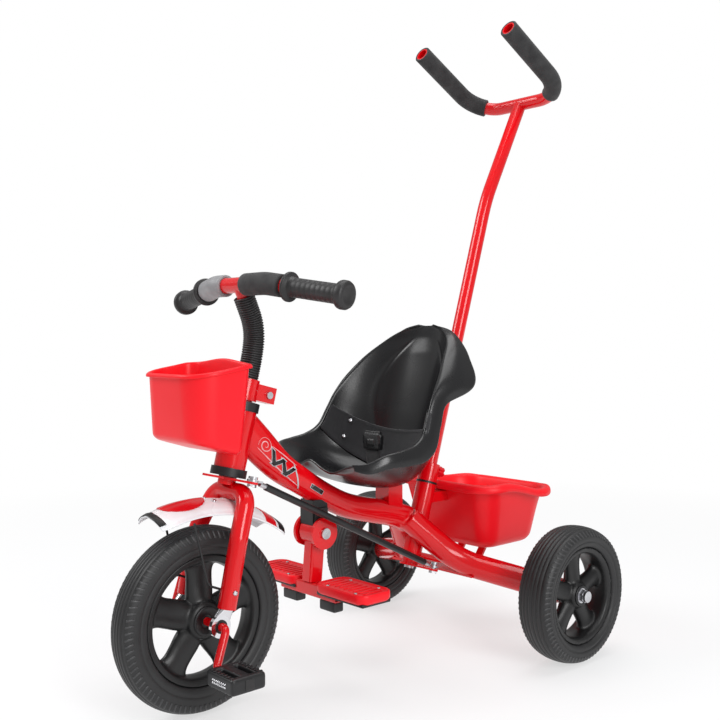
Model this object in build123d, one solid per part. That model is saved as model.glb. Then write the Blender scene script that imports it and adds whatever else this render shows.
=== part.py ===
from build123d import *
import math
import os

# A children's pedal tricycle with a steering push handle.
# Millimetres. +Z is up, -Y is the way it rides, +X is the rider's left. The origin is on the ground,
# under the middle of its length and width. Places along the length are measured back from the front axle.

# Driving dimensions
front_axle_y = -283.5
front_wheel_radius = 125.0
front_tyre_width = 44.0
rear_wheel_radius = 104.0
rear_tyre_width = 56.0
wheelbase = 528.0
rear_track = 444.0
head_angle = 14.5
head_foot_y = 50.4
head_foot_z = 319.3
handle_angle = 17.5
handle_foot_y = 397.7
handle_foot_z = 133.0
lever_out = 42.0
lever_back = 12.0
crank_length = 50.0
crank_angle = 26.0
crank_end = 143.0
pedal_middle = 118.0
pedal_width = 58.0
pedal_length = 52.0
pedal_height = 22.0
hinge_y = 202.0
hinge_z = 213.0
wall = 2.0
running_gap = 0.05

# Shared tube sizes
steerer_radius = 12.5
stem_radius = 9.9
bar_radius = 11.0
fork_tube_radius = 12.5
axle_radius = 6.0
crank_radius = 5.5
push_tube_radius = 11.0
rear_steerer_radius = 13.0
stay_radius = 19.5
push_bar_bend = 55.0
foam_radius = 15.0
foam_start = 70.0


def at(x, y, z):
    return Vector(x, y + front_axle_y, z)


def leaning_plane(foot_y, foot_z, angle):
    lean = math.radians(angle)
    direction = (0, math.sin(lean), math.cos(lean))
    return Plane(origin=at(0, foot_y, foot_z), x_dir=(1, 0, 0), z_dir=direction)


head = leaning_plane(head_foot_y, head_foot_z, head_angle)
tail = leaning_plane(handle_foot_y, handle_foot_z, handle_angle)


def on(plane, x, y, z):
    return plane.from_local_coords(Vector(x, y, z))


def ring_face(radius, bore=0):
    face = Circle(radius)
    if bore > 0:
        face = face - Circle(bore)
    return face


def sleeve(plane, low, high, radius, bore=0):
    return extrude(plane.offset(low) * ring_face(radius, bore), high - low)


def beside(plane, x, y):
    return Plane(origin=on(plane, x, y, 0), x_dir=plane.x_dir, z_dir=plane.z_dir)


def rod(start, end, radius, bore=0):
    plane = Plane(origin=start, z_dir=end - start)
    return extrude(plane * ring_face(radius, bore), (end - start).length)


def bent_tube(points, radii, radius, bore=0):
    path = FilletPolyline(*points, radius=radii)
    start = Plane(origin=path @ 0, z_dir=path % 0)
    return sweep(start * ring_face(radius, bore), path=path)


def across(x_low, x_high, y, z, radius, bore=0):
    return rod(at(x_low, y, z), at(x_high, y, z), radius, bore)


def block(x_low, x_high, y_low, y_high, z_low, z_high):
    size = (x_high - x_low, y_high - y_low, z_high - z_low)
    middle = at((x_low + x_high) / 2, (y_low + y_high) / 2, (z_low + z_high) / 2)
    return Location(middle) * Box(*size)


def mirrored(part):
    return mirror(part, about=Plane.YZ)


def both_sides(part):
    return Compound(children=[*part.solids(), *mirrored(part).solids()])


def pair(*parts):
    return Compound(children=[solid for part in parts for solid in part.solids()])


# Frame

spine_stations = [
    # back from the axle, height, half height, half width
    (70, 381, 27.0, 15.0),
    (100, 350, 26.0, 15.5),
    (135, 317, 23.0, 16.0),
    (170, 294, 20.5, 16.5),
    (215, 267, 19.0, 17.0),
    (260, 245, 19.0, 18.0),
    (310, 231, 19.5, 18.5),
    (355, 220, 20.0, 19.0),
    (396, 205, 20.5, 19.0),
]


def spine_solid(inset):
    faces = []
    last = len(spine_stations) - 1
    for index, (y, z, half_height, half_width) in enumerate(spine_stations):
        before = spine_stations[max(index - 1, 0)]
        after = spine_stations[min(index + 1, last)]
        along = Vector(0, after[0] - before[0], after[1] - before[1])
        section = Plane(origin=at(0, y, z), x_dir=(1, 0, 0), z_dir=along)
        faces.append(section * Ellipse(half_width - inset, half_height - inset))
    return loft(faces)


def stay_path_points(side):
    return [
        at(side * 10, 384, 210),
        at(side * 58, 450, 138),
        at(side * 202, 531, 103),
    ]


def stay_solid(side, bore):
    return bent_tube(stay_path_points(side), 110, stay_radius, bore)


housing_low = 14.0
housing_high = 132.0
housing_radius = 16.0
housing_bore = 14.2
head_tube_low = 3.0
head_tube_high = 83.0
head_tube_radius = 22.0


def head_tube():
    return sleeve(head, head_tube_low, head_tube_high, head_tube_radius, 17.0)


def headset_cups():
    bore = steerer_radius + running_gap
    lower = sleeve(head, -8.5, head_tube_low, 25.0, bore) + sleeve(head, head_tube_low, 15, 17.0, bore)
    upper = sleeve(head, head_tube_high, 95.5, 24.0, bore) + sleeve(head, 71, head_tube_high, 17.0, bore)
    return pair(lower, upper)


def main_spine():
    hollow = spine_solid(0) - spine_solid(wall)
    hollow -= sleeve(head, -20, 120, head_tube_radius)
    hollow -= sleeve(head, -10, head_tube_low + 0.2, 25.2) + sleeve(head, head_tube_high - 0.2, 100, 24.2)
    hollow -= sleeve(tail, 0, 160, housing_radius)
    return biggest(hollow)


def biggest(part):
    return max(part.solids(), key=lambda solid: solid.volume)


def rear_stay(side):
    stay = stay_solid(side, stay_radius - wall)
    stay -= spine_solid(0)
    stay -= sleeve(tail, 0, 160, housing_radius)
    stay -= across(-210, 210, wheelbase, rear_wheel_radius, 9.0)
    outside = block(196, 240, 400, 640, 20, 260)
    middle = block(-60, 0, 300, 560, 20, 300)
    if side < 0:
        outside = mirrored(outside)
        middle = mirrored(middle)
    return biggest(stay - outside - middle)


def steering_housing():
    return sleeve(tail, housing_low, housing_high, housing_radius, housing_bore)


def steering_bushes():
    bore = rear_steerer_radius + running_gap
    lower = sleeve(tail, 11, housing_low, 17.0, bore) + sleeve(tail, housing_low, 28, housing_bore, bore)
    upper = sleeve(tail, housing_high, 135, 17.0, bore)
    upper += sleeve(tail, 118, housing_high, housing_bore, bore)
    return pair(lower, upper)


def axle_tube():
    return across(-196, 196, wheelbase, rear_wheel_radius, 9.0, axle_radius)


def stay_end_plates():
    return both_sides(across(196, 200, wheelbase, rear_wheel_radius, 19.0, axle_radius))


def rear_axle():
    return across(-250, 250, wheelbase, rear_wheel_radius, axle_radius)


def stay_brace():
    plate = block(-90, 90, 446, 474, 117, 120.5)
    return biggest(plate - stay_solid(1, 0) - stay_solid(-1, 0))


def axle_nuts():
    hexagon = Plane(origin=at(241.2, wheelbase, rear_wheel_radius), z_dir=(1, 0, 0)) * RegularPolygon(10, 6)
    nut = extrude(hexagon, 6) + across(247.2, 252, wheelbase, rear_wheel_radius, 8.5)
    nut -= across(230, 250, wheelbase, rear_wheel_radius, axle_radius)
    return both_sides(nut)


def wheel_washers():
    inner = across(200.3, 201.7, wheelbase, rear_wheel_radius, 12.0, axle_radius)
    outer = across(239.3, 241.2, wheelbase, rear_wheel_radius, 12.0, axle_radius)
    return pair(*both_sides(inner).solids(), *both_sides(outer).solids())


# Seat

seat_wall = 3.5
seat_pivot_y = 200.0
seat_pivot_z = 470.0
seat_stations = [
    # back from the axle, height, half width, height of the rim above the middle
    (192, 311, 92, 9),
    (207, 302, 108, 20),
    (240, 287, 120, 47),
    (285, 275, 124, 68),
    (335, 268, 122, 90),
    (375, 285, 117, 98),
    (398, 330, 113, 92),
    (411, 378, 108, 80),
    (422, 424, 100, 64),
    (432, 466, 86, 46),
    (438, 496, 66, 24),
    (440, 514, 38, 8),
]
seat_wings = [
    # station of the seat, how far the wing stands out, how far it reaches back down the side
    (3, 9, 22),
    (4, 10, 28),
    (5, 10, 30),
    (6, 11, 32),
    (7, 13, 44),
    (8, 18, 58),
    (9, 15, 42),
]


def seat_section(station):
    y, z, half_width, rise = station
    inward = Vector(0, seat_pivot_y - y, seat_pivot_z - z)
    plane = Plane(origin=at(0, y, z), x_dir=(1, 0, 0), z_dir=Vector(1, 0, 0).cross(inward))
    return plane, half_width, rise


def seat_layer(stations, inside, outside):
    faces = []
    for station in stations:
        plane, half_width, rise = seat_section(station)
        near = half_width - inside
        far = half_width - outside
        edges = [
            ThreePointArc((-near, rise), (0, inside), (near, rise)),
            Line((near, rise), (far, rise)),
            ThreePointArc((far, rise), (0, outside), (-far, rise)),
            Line((-far, rise), (-near, rise)),
        ]
        faces.append(plane * make_face(edges))
    return loft(faces)


def seat_outer_block():
    faces = []
    for station in seat_stations:
        plane, half_width, rise = seat_section(station)
        far = half_width + seat_wall
        edges = [ThreePointArc((-far, rise), (0, -seat_wall), (far, rise)), Line((far, rise), (-far, rise))]
        faces.append(plane * make_face(edges))
    return loft(faces)


def seat_wing():
    faces = []
    for index, out, down in seat_wings:
        plane, half_width, rise = seat_section(seat_stations[index])
        inner = (half_width + 0.4, rise - 0.6)
        outer = (half_width + seat_wall, rise)
        tip = (half_width + seat_wall + out, rise - down)
        foot = (half_width + 0.4 + out, rise - down)
        faces.append(plane * make_face(Polyline(inner, outer, tip, foot, inner)))
    return loft(faces, ruled=True)


def seat_shell():
    wing = seat_wing()
    return biggest(seat_layer(seat_stations, 0, -seat_wall) + wing + mirrored(wing))


def seat_brackets():
    front = block(-15, 15, 217, 241, 255, 300)
    rear = block(-15, 15, 338, 368, 215, 285)
    clear = seat_outer_block()
    beam = spine_solid(0)
    brackets = []
    for solid in (front, rear):
        brackets.append(bracket_part(solid - clear - beam))
    return pair(*brackets)


def bracket_part(part):
    return min(part.solids(), key=lambda solid: abs(solid.center().Z - 262))


def waist_belt():
    band = seat_layer(seat_stations[5:8], 5.0, 1.0)
    return biggest(band)


def crotch_strap():
    return block(-16, 16, 318, 322, 276, 322)


def belt_buckle():
    return block(-20, 20, 313, 325, 322, 352)


# Rear basket

def rounded_outline(half_width, front, back, front_corner, back_corner, z):
    middle = (front + back) / 2
    shape = Rectangle(2 * half_width, back - front)
    front_points = shape.vertices().sort_by(Axis.Y)[:2]
    shape = fillet(front_points, front_corner)
    back_points = shape.vertices().sort_by(Axis.Y)[-2:]
    shape = fillet(back_points, back_corner)
    return Plane(origin=at(0, middle, z), x_dir=(1, 0, 0), z_dir=(0, 0, 1)) * shape


def tub(low, high, thickness, lip):
    outer = loft([rounded_outline(*low), rounded_outline(*high)])
    inner_low = (low[0] - thickness, low[1] + thickness, low[2] - thickness, low[3] - thickness / 2)
    inner_high = (high[0] - thickness, high[1] + thickness, high[2] - thickness, high[3] - thickness / 2)
    rim = (high[0] + lip, high[1] - lip, high[2] + lip, high[3] + lip, high[4] + lip, high[5] - 4)
    inner = loft([
        rounded_outline(*inner_low, low[4], low[5] + thickness),
        rounded_outline(*inner_high, high[4], high[5] + 0.01),
    ])
    flange = extrude(rounded_outline(*rim), 4) - extrude(rounded_outline(*inner_high, high[4], high[5] - 5), 6)
    return biggest((outer - inner) + flange)


rear_basket_low = (80, 495, 625, 28, 36, 152)
rear_basket_high = (102, 472, 644, 34, 48, 258)


def rear_basket():
    return tub(rear_basket_low, rear_basket_high, 2.5, 6)


def basket_struts():
    foot = at(23, wheelbase + 5, rear_wheel_radius + 12)
    head_end = at(23, 560, 152)
    strut = Plane(origin=foot, x_dir=(1, 0, 0), z_dir=head_end - foot)
    post = extrude(strut * Rectangle(14, 4), (head_end - foot).length)
    pad = block(16, 30, 552, 578, 149, 152)
    post -= block(0, 60, 500, 640, 149, 200)
    saddle = block(16, 30, wheelbase - 6, wheelbase + 8, rear_wheel_radius + 5, rear_wheel_radius + 13)
    strut_part = post + pad + saddle - across(0, 60, wheelbase, rear_wheel_radius, 9.0)
    return both_sides(biggest(strut_part))


def basket_hanger():
    plate = block(-12, 12, 436, 492, 228, 244)
    plate -= sleeve(tail, 0, 160, housing_radius)
    plate -= loft([rounded_outline(*rear_basket_low), rounded_outline(*rear_basket_high)])
    return min(plate.solids(), key=lambda solid: abs(solid.center().Y - at(0, 460, 0).Y))


# Folding footrest

def footrest_bracket():
    cheek_gap = block(-14, 14, 186, 214, 214, 262)
    body = cheek_gap - spine_solid(0) - across(-20, 20, hinge_y, hinge_z, 20.3)
    return min(body.solids(), key=lambda solid: solid.center().Z)


def hinge_discs():
    disc = across(17.5, 22.5, hinge_y, hinge_z, 23.5, 5.0)
    return both_sides(disc)


def hinge_bracket_ears():
    ear = block(14, 17.5, 188, 212, 222, 250)
    ear = ear - spine_solid(0)
    return both_sides(max(ear.solids(), key=lambda solid: solid.volume))


def hinge_pin():
    pin = across(-24, 24, hinge_y, hinge_z, 5.0)
    heads = both_sides(across(22.5, 26, hinge_y, hinge_z, 8.0))
    return biggest(pin + heads)


def footrest_leg():
    barrel = across(-13.5, 13.5, hinge_y, hinge_z, 19.5, 5.0 + running_gap)
    bottom = at(0, 195, 141)
    top = at(0, hinge_y - 1, hinge_z - 10)
    plane = Plane(origin=bottom, x_dir=(1, 0, 0), z_dir=top - bottom)
    leg = extrude(plane * RectangleRounded(22, 24, 4), (top - bottom).length)
    leg -= across(-20, 20, hinge_y, hinge_z, 19.0) + block(-62, 62, 180, 210, 118, 141)
    return biggest(barrel + leg)


def footrest_bar():
    profile = Plane(origin=at(-62, 195, 131), z_dir=(1, 0, 0)) * RectangleRounded(20, 20, 3)
    hollow = Plane(origin=at(-62, 195, 131), z_dir=(1, 0, 0)) * RectangleRounded(16, 16, 2)
    return extrude(profile, 124) - extrude(hollow, 124)


def pad_block():
    outline = Plane(origin=at(76, 209, 128), z_dir=(0, 0, 1)) * RectangleRounded(108, 62, 12)
    return extrude(outline, 17)


def footrest_pads():
    pad = pad_block() - block(0, 64, 184.7, 205.3, 100, 141.3)
    pad -= block(66, 124, 184, 234, 100, 141.5)
    return both_sides(biggest(pad))


def footrest_rubbers():
    return both_sides(block(26, 60, 186, 206, 106, 120.9))


# Fork and everything that steers

def fork_legs():
    points = [
        at(50, 11, 146),
        at(50, 31, 236),
        at(37, 54.5, 290),
        at(-37, 54.5, 290),
        at(-50, 31, 236),
        at(-50, 11, 146),
    ]
    return bent_tube(points, [45, 24, 24, 45], fork_tube_radius, fork_tube_radius - wall)


def fork_steerer():
    crown = rod(at(-30, 54.5, 290), at(30, 54.5, 290), fork_tube_radius)
    tube = sleeve(head, -20, 127, steerer_radius, stem_radius + 0.1)
    return biggest(tube - crown)


def fork_lever():
    plate = sleeve(head, -13, -10, 17.0)
    pivot = head.offset(-13) * Pos(lever_out, lever_back)
    arm_outline = make_hull([*Circle(17).edges(), *(Pos(lever_out, lever_back) * Circle(8)).edges()])
    arm = extrude(head.offset(-13) * arm_outline, 3)
    nose_outline = make_hull([*Circle(14).edges(), *(Pos(0, -34) * Circle(6)).edges()])
    nose = extrude(head.offset(-13) * nose_outline, 3)
    hole = extrude(pivot * Circle(4), 3)
    return biggest(plate + arm + nose - sleeve(head, -20, 0, steerer_radius) - hole)


def lever_bolt():
    pivot = beside(head, lever_out, lever_back)
    shank = sleeve(pivot, -17, -6.3, 4.0)
    bolt_head = sleeve(pivot, -6.3, -2.8, 6.5)
    nut = extrude(pivot.offset(-17) * RegularPolygon(6.5, 6), 4)
    return biggest(shank + bolt_head + nut)


def drop_outs():
    eye = across(47, 53, 0, front_wheel_radius, 15.0, 9.0)
    top = at(50, 11, 148)
    neck_path = [
        Plane(origin=at(50, 3.5, 135), x_dir=(1, 0, 0), z_dir=(0, 0.33, 0.94)) * RectangleRounded(6, 24, 2),
        Plane(origin=top, x_dir=(1, 0, 0), z_dir=(0, 0.22, 0.97)) * RectangleRounded(14, 19, 6),
    ]
    neck = loft(neck_path) - across(40, 60, 0, front_wheel_radius, 15.0)
    plug = rod(at(50, 11, 148), at(50, 14, 161), fork_tube_radius - wall)
    drop_out = eye + neck + plug
    drop_out -= fork_legs()
    return both_sides(biggest(drop_out))


def axle_bushes():
    bush = across(46.5, 54, 0, front_wheel_radius, 9.0, crank_radius + running_gap)
    return both_sides(bush)


guard_half_width = 38.0
guard_drop = 16.0
guard_wall = 2.2


def mudguard():
    path = ThreePointArc(at(0, -78, 272), at(0, 24, 283), at(0, 130, 238))
    start = Plane(origin=path @ 0, x_dir=(1, 0, 0), z_dir=path % 0)
    side, low = guard_half_width, guard_drop + guard_wall
    upper = ThreePointArc((-side, guard_drop), (0, 0), (side, guard_drop))
    lower = ThreePointArc((side, low), (0, guard_wall), (-side, low))
    ends = [Line(upper @ 1, lower @ 0), Line(lower @ 1, upper @ 0)]
    guard = sweep(start * make_face([upper, lower, *ends]), path=path)
    return biggest(guard - fork_crown_clearance())


def fork_crown_clearance():
    points = [at(50, 31, 236), at(37, 54.5, 290), at(-37, 54.5, 290), at(-50, 31, 236)]
    return bent_tube(points, 24, fork_tube_radius + 0.2)


def mudguard_stays():
    start = at(38.6, -30, 262)
    bend = at(40, -10, 178)
    end = at(44, 14, 168)
    wire = bent_tube([start, bend, end], 12, 1.6)
    wire -= fork_legs()
    return both_sides(biggest(wire))


def stem_points():
    return [
        on(head, 0, 0, 60),
        on(head, 0, 0, 158),
        at(0, 97, 512),
        at(0, 72, 571),
    ]


def stem_tube():
    stem = bent_tube(stem_points(), [70, 40], stem_radius, stem_radius - wall)
    stem -= handlebar_solid()
    return biggest(stem)


def stem_sleeve():
    points = stem_points()
    points[0] = on(head, 0, 0, 128)
    towards = (points[2] - points[3]).normalized()
    points[3] = points[3] + towards * 16
    return bent_tube(points, [70, 40], 15.0, stem_radius + 0.1)


def stem_clamp():
    ring = sleeve(head, 98, 127.5, 18.0)
    ears = extrude((head.offset(101) * Pos(0, 30)) * Rectangle(20, 32), 23)
    slot = extrude((head.offset(96) * Pos(0, 34)) * Rectangle(3, 50), 40)
    clamp = ring + ears - sleeve(head, 90, 140, steerer_radius) - slot
    hole = rod(on(head, -20, 34, 112), on(head, 20, 34, 112), 3.0)
    return biggest(clamp - hole)


def clamp_bolt():
    shank = rod(on(head, -10.0, 34, 112), on(head, 10.0, 34, 112), 3.0)
    heads = rod(on(head, 10.0, 34, 112), on(head, 14.0, 34, 112), 5.0)
    nut = rod(on(head, -14.0, 34, 112), on(head, -10.0, 34, 112), 5.0)
    return biggest(shank + heads + nut)


def handlebar_points():
    return [at(-186, 100, 554), at(-58, 72, 573), at(58, 72, 573), at(186, 100, 554)]


def handlebar_solid():
    return bent_tube(handlebar_points(), 60, bar_radius)


def handlebar():
    return bent_tube(handlebar_points(), 60, bar_radius, bar_radius - wall)


def bar_plane(side, x):
    start = handlebar_points()[3]
    direction = (handlebar_points()[2] - start).normalized()
    distance = (186 - x) / abs(direction.X)
    origin = start + direction * distance
    if side < 0:
        origin = Vector(-origin.X, origin.Y, origin.Z)
        direction = Vector(-direction.X, direction.Y, direction.Z)
    return Plane(origin=origin, z_dir=-direction)


def grip(side):
    length = 92
    plane = bar_plane(side, 97)
    body = sleeve(plane, 0, length, 13.0, bar_radius)
    flange = sleeve(plane, 0, 5, 20.0, bar_radius)
    cap = sleeve(plane, length, length + 7, 19.0) + sleeve(plane, length - 5, length, 19.0, bar_radius)
    cap -= sleeve(plane, length - 5, length + 0.8, bar_radius)
    return biggest(body + flange + cap)


def bar_sleeve(x_low, x_high):
    points = handlebar_points()
    corner = points[2] if x_high > 58 else points[1]
    path = [bar_place(points, x_low), corner, bar_place(points, x_high)]
    return bent_tube(path, 60, 15.5, bar_radius)


def bar_place(points, x):
    if abs(x) <= 58:
        return Vector(x, points[1].Y, points[1].Z)
    share = (abs(x) - 58) / (186 - 58)
    inner = points[2]
    outer = points[3]
    return Vector(x, inner.Y + (outer.Y - inner.Y) * share, inner.Z + (outer.Z - inner.Z) * share)


front_basket_low = (66, -41, 30, 32, 14, 353)
front_basket_high = (71, -46, 42, 40, 16, 460)


def front_basket():
    return tub(front_basket_low, front_basket_high, 2.5, 4)


def front_basket_bracket():
    plate = block(-14, 14, 36, 76, 424, 436)
    plate -= sleeve(head, 60, 150, 18.0)
    plate -= loft([rounded_outline(*front_basket_low), rounded_outline(*front_basket_high)])
    return min(plate.solids(), key=lambda solid: abs(solid.center().Y - at(0, 50, 0).Y))


# Front wheel and pedals

def wheel_profile(radius, width, seat_radius):
    half = width / 2
    height = radius - seat_radius
    outer = Spline(
        (-0.80 * half, seat_radius),
        (-half, seat_radius + 0.42 * height),
        (-0.80 * half, seat_radius + 0.82 * height),
        (0, radius),
        (0.80 * half, seat_radius + 0.82 * height),
        (half, seat_radius + 0.42 * height),
        (0.80 * half, seat_radius),
    )
    return make_face([outer, Line(outer @ 1, outer @ 0)])


def tyre(radius, width, seat_radius):
    return revolve(Plane.XZ * wheel_profile(radius, width, seat_radius), axis=Axis.X)


def rim(seat_radius, width, hub_radius, hub_half, bore):
    half = width * 0.42
    ring = Plane.YZ.offset(-half) * ring_face(seat_radius, seat_radius - 9)
    wheel = extrude(ring, 2 * half)
    wheel += extrude(Plane.YZ.offset(-hub_half) * Circle(hub_radius), 2 * hub_half)
    wheel += extrude(Plane.YZ.offset(-7) * Circle(hub_radius + 9), 14)
    spoke_outline = Polygon(
        (hub_radius - 2, -13), (seat_radius - 5, -9), (seat_radius - 5, 9), (hub_radius - 2, 13), align=None
    )
    spoke = extrude(Plane.YZ.offset(-7) * spoke_outline, 14)
    for index in range(5):
        wheel += Rot(X=72 * index + 90) * spoke
    return biggest(wheel - extrude(Plane.YZ.offset(-80) * Circle(bore), 160))


front_seat_radius = 88.0
rear_seat_radius = 74.0


def front_wheel_place():
    return Location(at(0, 0, front_wheel_radius))


def front_tyre():
    return front_wheel_place() * tyre(front_wheel_radius, front_tyre_width, front_seat_radius)


def front_rim():
    return front_wheel_place() * rim(front_seat_radius, front_tyre_width, 19, 32, crank_radius)


def crank_offset():
    lean = math.radians(crank_angle)
    return -crank_length * math.sin(lean), -crank_length * math.cos(lean)


def crank_axle():
    drop_y, drop_z = crank_offset()
    z = front_wheel_radius
    points = [
        at(crank_end, drop_y, z + drop_z),
        at(74, drop_y, z + drop_z),
        at(65, 0, z),
        at(-65, 0, z),
        at(-74, -drop_y, z - drop_z),
        at(-crank_end, -drop_y, z - drop_z),
    ]
    return bent_tube(points, 9, crank_radius)


def pedal(side):
    drop_y, drop_z = crank_offset()
    y = side * drop_y
    z = front_wheel_radius + side * drop_z
    half_height = pedal_height / 2
    outline = Plane(origin=at(side * pedal_middle, y, z - half_height)) * RectangleRounded(pedal_width, pedal_length, 9)
    body = extrude(outline, pedal_height)
    body -= rod(at(side * 60, y, z), at(side * (crank_end + 0.3), y, z), crank_radius + running_gap)
    for offset in (-14, 14):
        slot_place = Plane(origin=at(side * pedal_middle, y + offset, z - pedal_height))
        body -= extrude(slot_place * RectangleRounded(36, 8, 3), 2 * pedal_height)
    return biggest(body)


# Rear wheels

def rear_wheel_place(side):
    return Location(at(side * rear_track / 2, wheelbase, rear_wheel_radius))


def rear_tyre(side):
    return rear_wheel_place(side) * tyre(rear_wheel_radius, rear_tyre_width, rear_seat_radius)


def rear_rim(side):
    hub_half = 17.0
    wheel = rim(rear_seat_radius, rear_tyre_width, 18, hub_half, axle_radius + running_gap)
    return rear_wheel_place(side) * wheel


# Push handle, its steering and the rod that joins it to the fork

def handle_steerer_tube():
    return sleeve(tail, 0, 165, rear_steerer_radius, push_tube_radius + running_gap)


def handle_collar():
    ring = sleeve(tail, 135.4, 165, 16.0, rear_steerer_radius)
    return ring - rod(on(tail, 0, 0, 156), on(tail, 0, 40, 156), 3.0)


def rear_lever():
    outline = make_hull([*Circle(16).edges(), *(Pos(lever_out, lever_back) * Circle(8)).edges()])
    plate = extrude(tail.offset(-3) * outline, 3)
    hole = extrude(tail.offset(-3) * Pos(lever_out, lever_back) * Circle(4), 3)
    centre_hole = extrude(tail.offset(-3) * Circle(4), 3)
    return plate - hole - centre_hole


def rear_lever_bolt():
    pivot = beside(tail, lever_out, lever_back)
    shank = sleeve(pivot, -7, 7.4, 4.0)
    bolt_head = sleeve(pivot, 7.4, 10.5, 6.5)
    nut = extrude(pivot.offset(-7) * RegularPolygon(6.5, 6), 4)
    return biggest(shank + bolt_head + nut)


def steerer_plug():
    plug = sleeve(tail, 0, 14, push_tube_radius + running_gap)
    screw = sleeve(tail, -3, 0, 4.0) + sleeve(tail, -7, -3, 7.5)
    return biggest(plug + screw)


def steering_rod_body():
    front = on(head, lever_out, lever_back, -8.4)
    back = on(tail, lever_out, lever_back, 3.8)
    along = (back - front).normalized()
    return rod(front + along * 24, back - along * 24, 5.0, 3.6)


def rod_end(plane, centre, along, reach):
    eye_plane = Plane(origin=centre, x_dir=(1, 0, 0), z_dir=plane.z_dir)
    hole_radius = 4.0 + running_gap if plane is head else 5.3
    eye = extrude(eye_plane.offset(-1.5) * Circle(8.0), 3)
    flat_along = along - plane.z_dir * along.dot(plane.z_dir)
    flat_end = centre + flat_along.normalized() * 14
    tongue_plane = Plane(origin=(centre + flat_end) / 2, x_dir=flat_along, z_dir=plane.z_dir)
    tongue = extrude(tongue_plane.offset(-1.5) * Rectangle(14, 10), 3)
    neck = rod(centre + along * 13, centre + along * reach, 3.6)
    hole = extrude(eye_plane.offset(-10) * Circle(hole_radius), 20)
    return biggest(eye + tongue + neck - hole)


def rod_ends():
    front = on(head, lever_out, lever_back, -8.4)
    back = on(tail, lever_out, lever_back, 3.8)
    along = (back - front).normalized()
    return pair(rod_end(head, front, along, 34), rod_end(tail, back, along * -1, 34))


def push_tube_points():
    return [on(tail, 0, 0, 62), at(0, 587, 733), at(0, 681, 912)]


def push_bar_points():
    return [at(96.7, 530, 994), at(96.7, 681, 912), at(-96.7, 681, 912), at(-96.7, 530, 994)]


def push_tube():
    tube = bent_tube(push_tube_points(), 300, push_tube_radius, push_tube_radius - wall)
    return biggest(tube - bent_tube(push_bar_points(), push_bar_bend, push_tube_radius))


def push_bar():
    return bent_tube(push_bar_points(), push_bar_bend, push_tube_radius, push_tube_radius - wall)


def push_grip(side):
    foam = bent_tube(push_bar_points(), push_bar_bend, foam_radius, push_tube_radius)
    foam -= block(-foam_start, foam_start, 500, 720, 850, 1050)
    return max(foam.solids(), key=lambda solid: side * solid.center().X)


def handle_knob():
    base = on(tail, 0, 17, 156)
    tip = on(tail, 0, 29, 156)
    knob = rod(base, tip, 9.0)
    for index in range(5):
        turn = math.radians(72 * index)
        lobe_shift = Vector(9.5 * math.cos(turn), 0, 0) + tail.z_dir * (9.5 * math.sin(turn))
        knob -= rod(base - tail.y_dir + lobe_shift, tip + tail.y_dir + lobe_shift, 2.6)
    stud = rod(on(tail, 0, 13.2, 156), base, 2.9)
    return biggest(knob + stud)


nodes = {
    "head_tube": head_tube(),
    "headset_cups": headset_cups(),
    "main_spine": main_spine(),
    "left_stay": rear_stay(1),
    "right_stay": rear_stay(-1),
    "steering_housing": steering_housing(),
    "steering_bushes": steering_bushes(),
    "axle_tube": axle_tube(),
    "stay_plates": pair(stay_end_plates(), stay_brace()),
    "rear_axle": rear_axle(),
    "axle_nuts": pair(axle_nuts(), wheel_washers()),
    "seat_shell": seat_shell(),
    "seat_brackets": seat_brackets(),
    "waist_belt": waist_belt(),
    "crotch_strap": crotch_strap(),
    "belt_buckle": belt_buckle(),
    "rear_basket": rear_basket(),
    "basket_struts": basket_struts(),
    "basket_hanger": basket_hanger(),
    "footrest_bracket": pair(footrest_bracket(), hinge_bracket_ears()),
    "hinge_discs": hinge_discs(),
    "hinge_pin": hinge_pin(),
    "footrest_leg": footrest_leg(),
    "footrest_bar": footrest_bar(),
    "footrest_pads": footrest_pads(),
    "footrest_rubbers": footrest_rubbers(),
    "fork_legs": fork_legs(),
    "fork_steerer": fork_steerer(),
    "fork_lever": fork_lever(),
    "fork_bolts": pair(lever_bolt(), clamp_bolt()),
    "drop_outs": drop_outs(),
    "axle_bushes": axle_bushes(),
    "mudguard": mudguard(),
    "mudguard_stays": mudguard_stays(),
    "stem_tube": stem_tube(),
    "stem_sleeve": stem_sleeve(),
    "stem_clamp": stem_clamp(),
    "handlebar": handlebar(),
    "handlebar_grips": pair(grip(1), grip(-1)),
    "handlebar_sleeves": pair(bar_sleeve(12, 92), bar_sleeve(-94, -33)),
    "front_basket": front_basket(),
    "front_basket_bracket": front_basket_bracket(),
    "front_tyre": front_tyre(),
    "front_rim": front_rim(),
    "crank_axle": crank_axle(),
    "left_pedal": pedal(1),
    "right_pedal": pedal(-1),
    "steering_rod": steering_rod_body(),
    "rod_ends": rod_ends(),
    "handle_steerer": pair(handle_steerer_tube(), handle_collar()),
    "rear_lever": rear_lever(),
    "rear_lever_bolts": pair(rear_lever_bolt(), steerer_plug()),
    "push_tube": push_tube(),
    "push_bar": push_bar(),
    "push_grips": pair(push_grip(1), push_grip(-1)),
    "handle_knob": handle_knob(),
    "left_rear_tyre": rear_tyre(1),
    "right_rear_tyre": rear_tyre(-1),
    "left_rear_rim": rear_rim(1),
    "right_rear_rim": rear_rim(-1),
}

os.makedirs("parts", exist_ok=True)
for name, part in nodes.items():
    export_step(part, f"parts/{name}.step")
box = pair(*nodes.values()).bounding_box()
print(len(nodes), "nodes", box.min, box.max)
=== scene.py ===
import math
import bpy
import bmesh
from mathutils import Matrix, Vector, bvhtree


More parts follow.
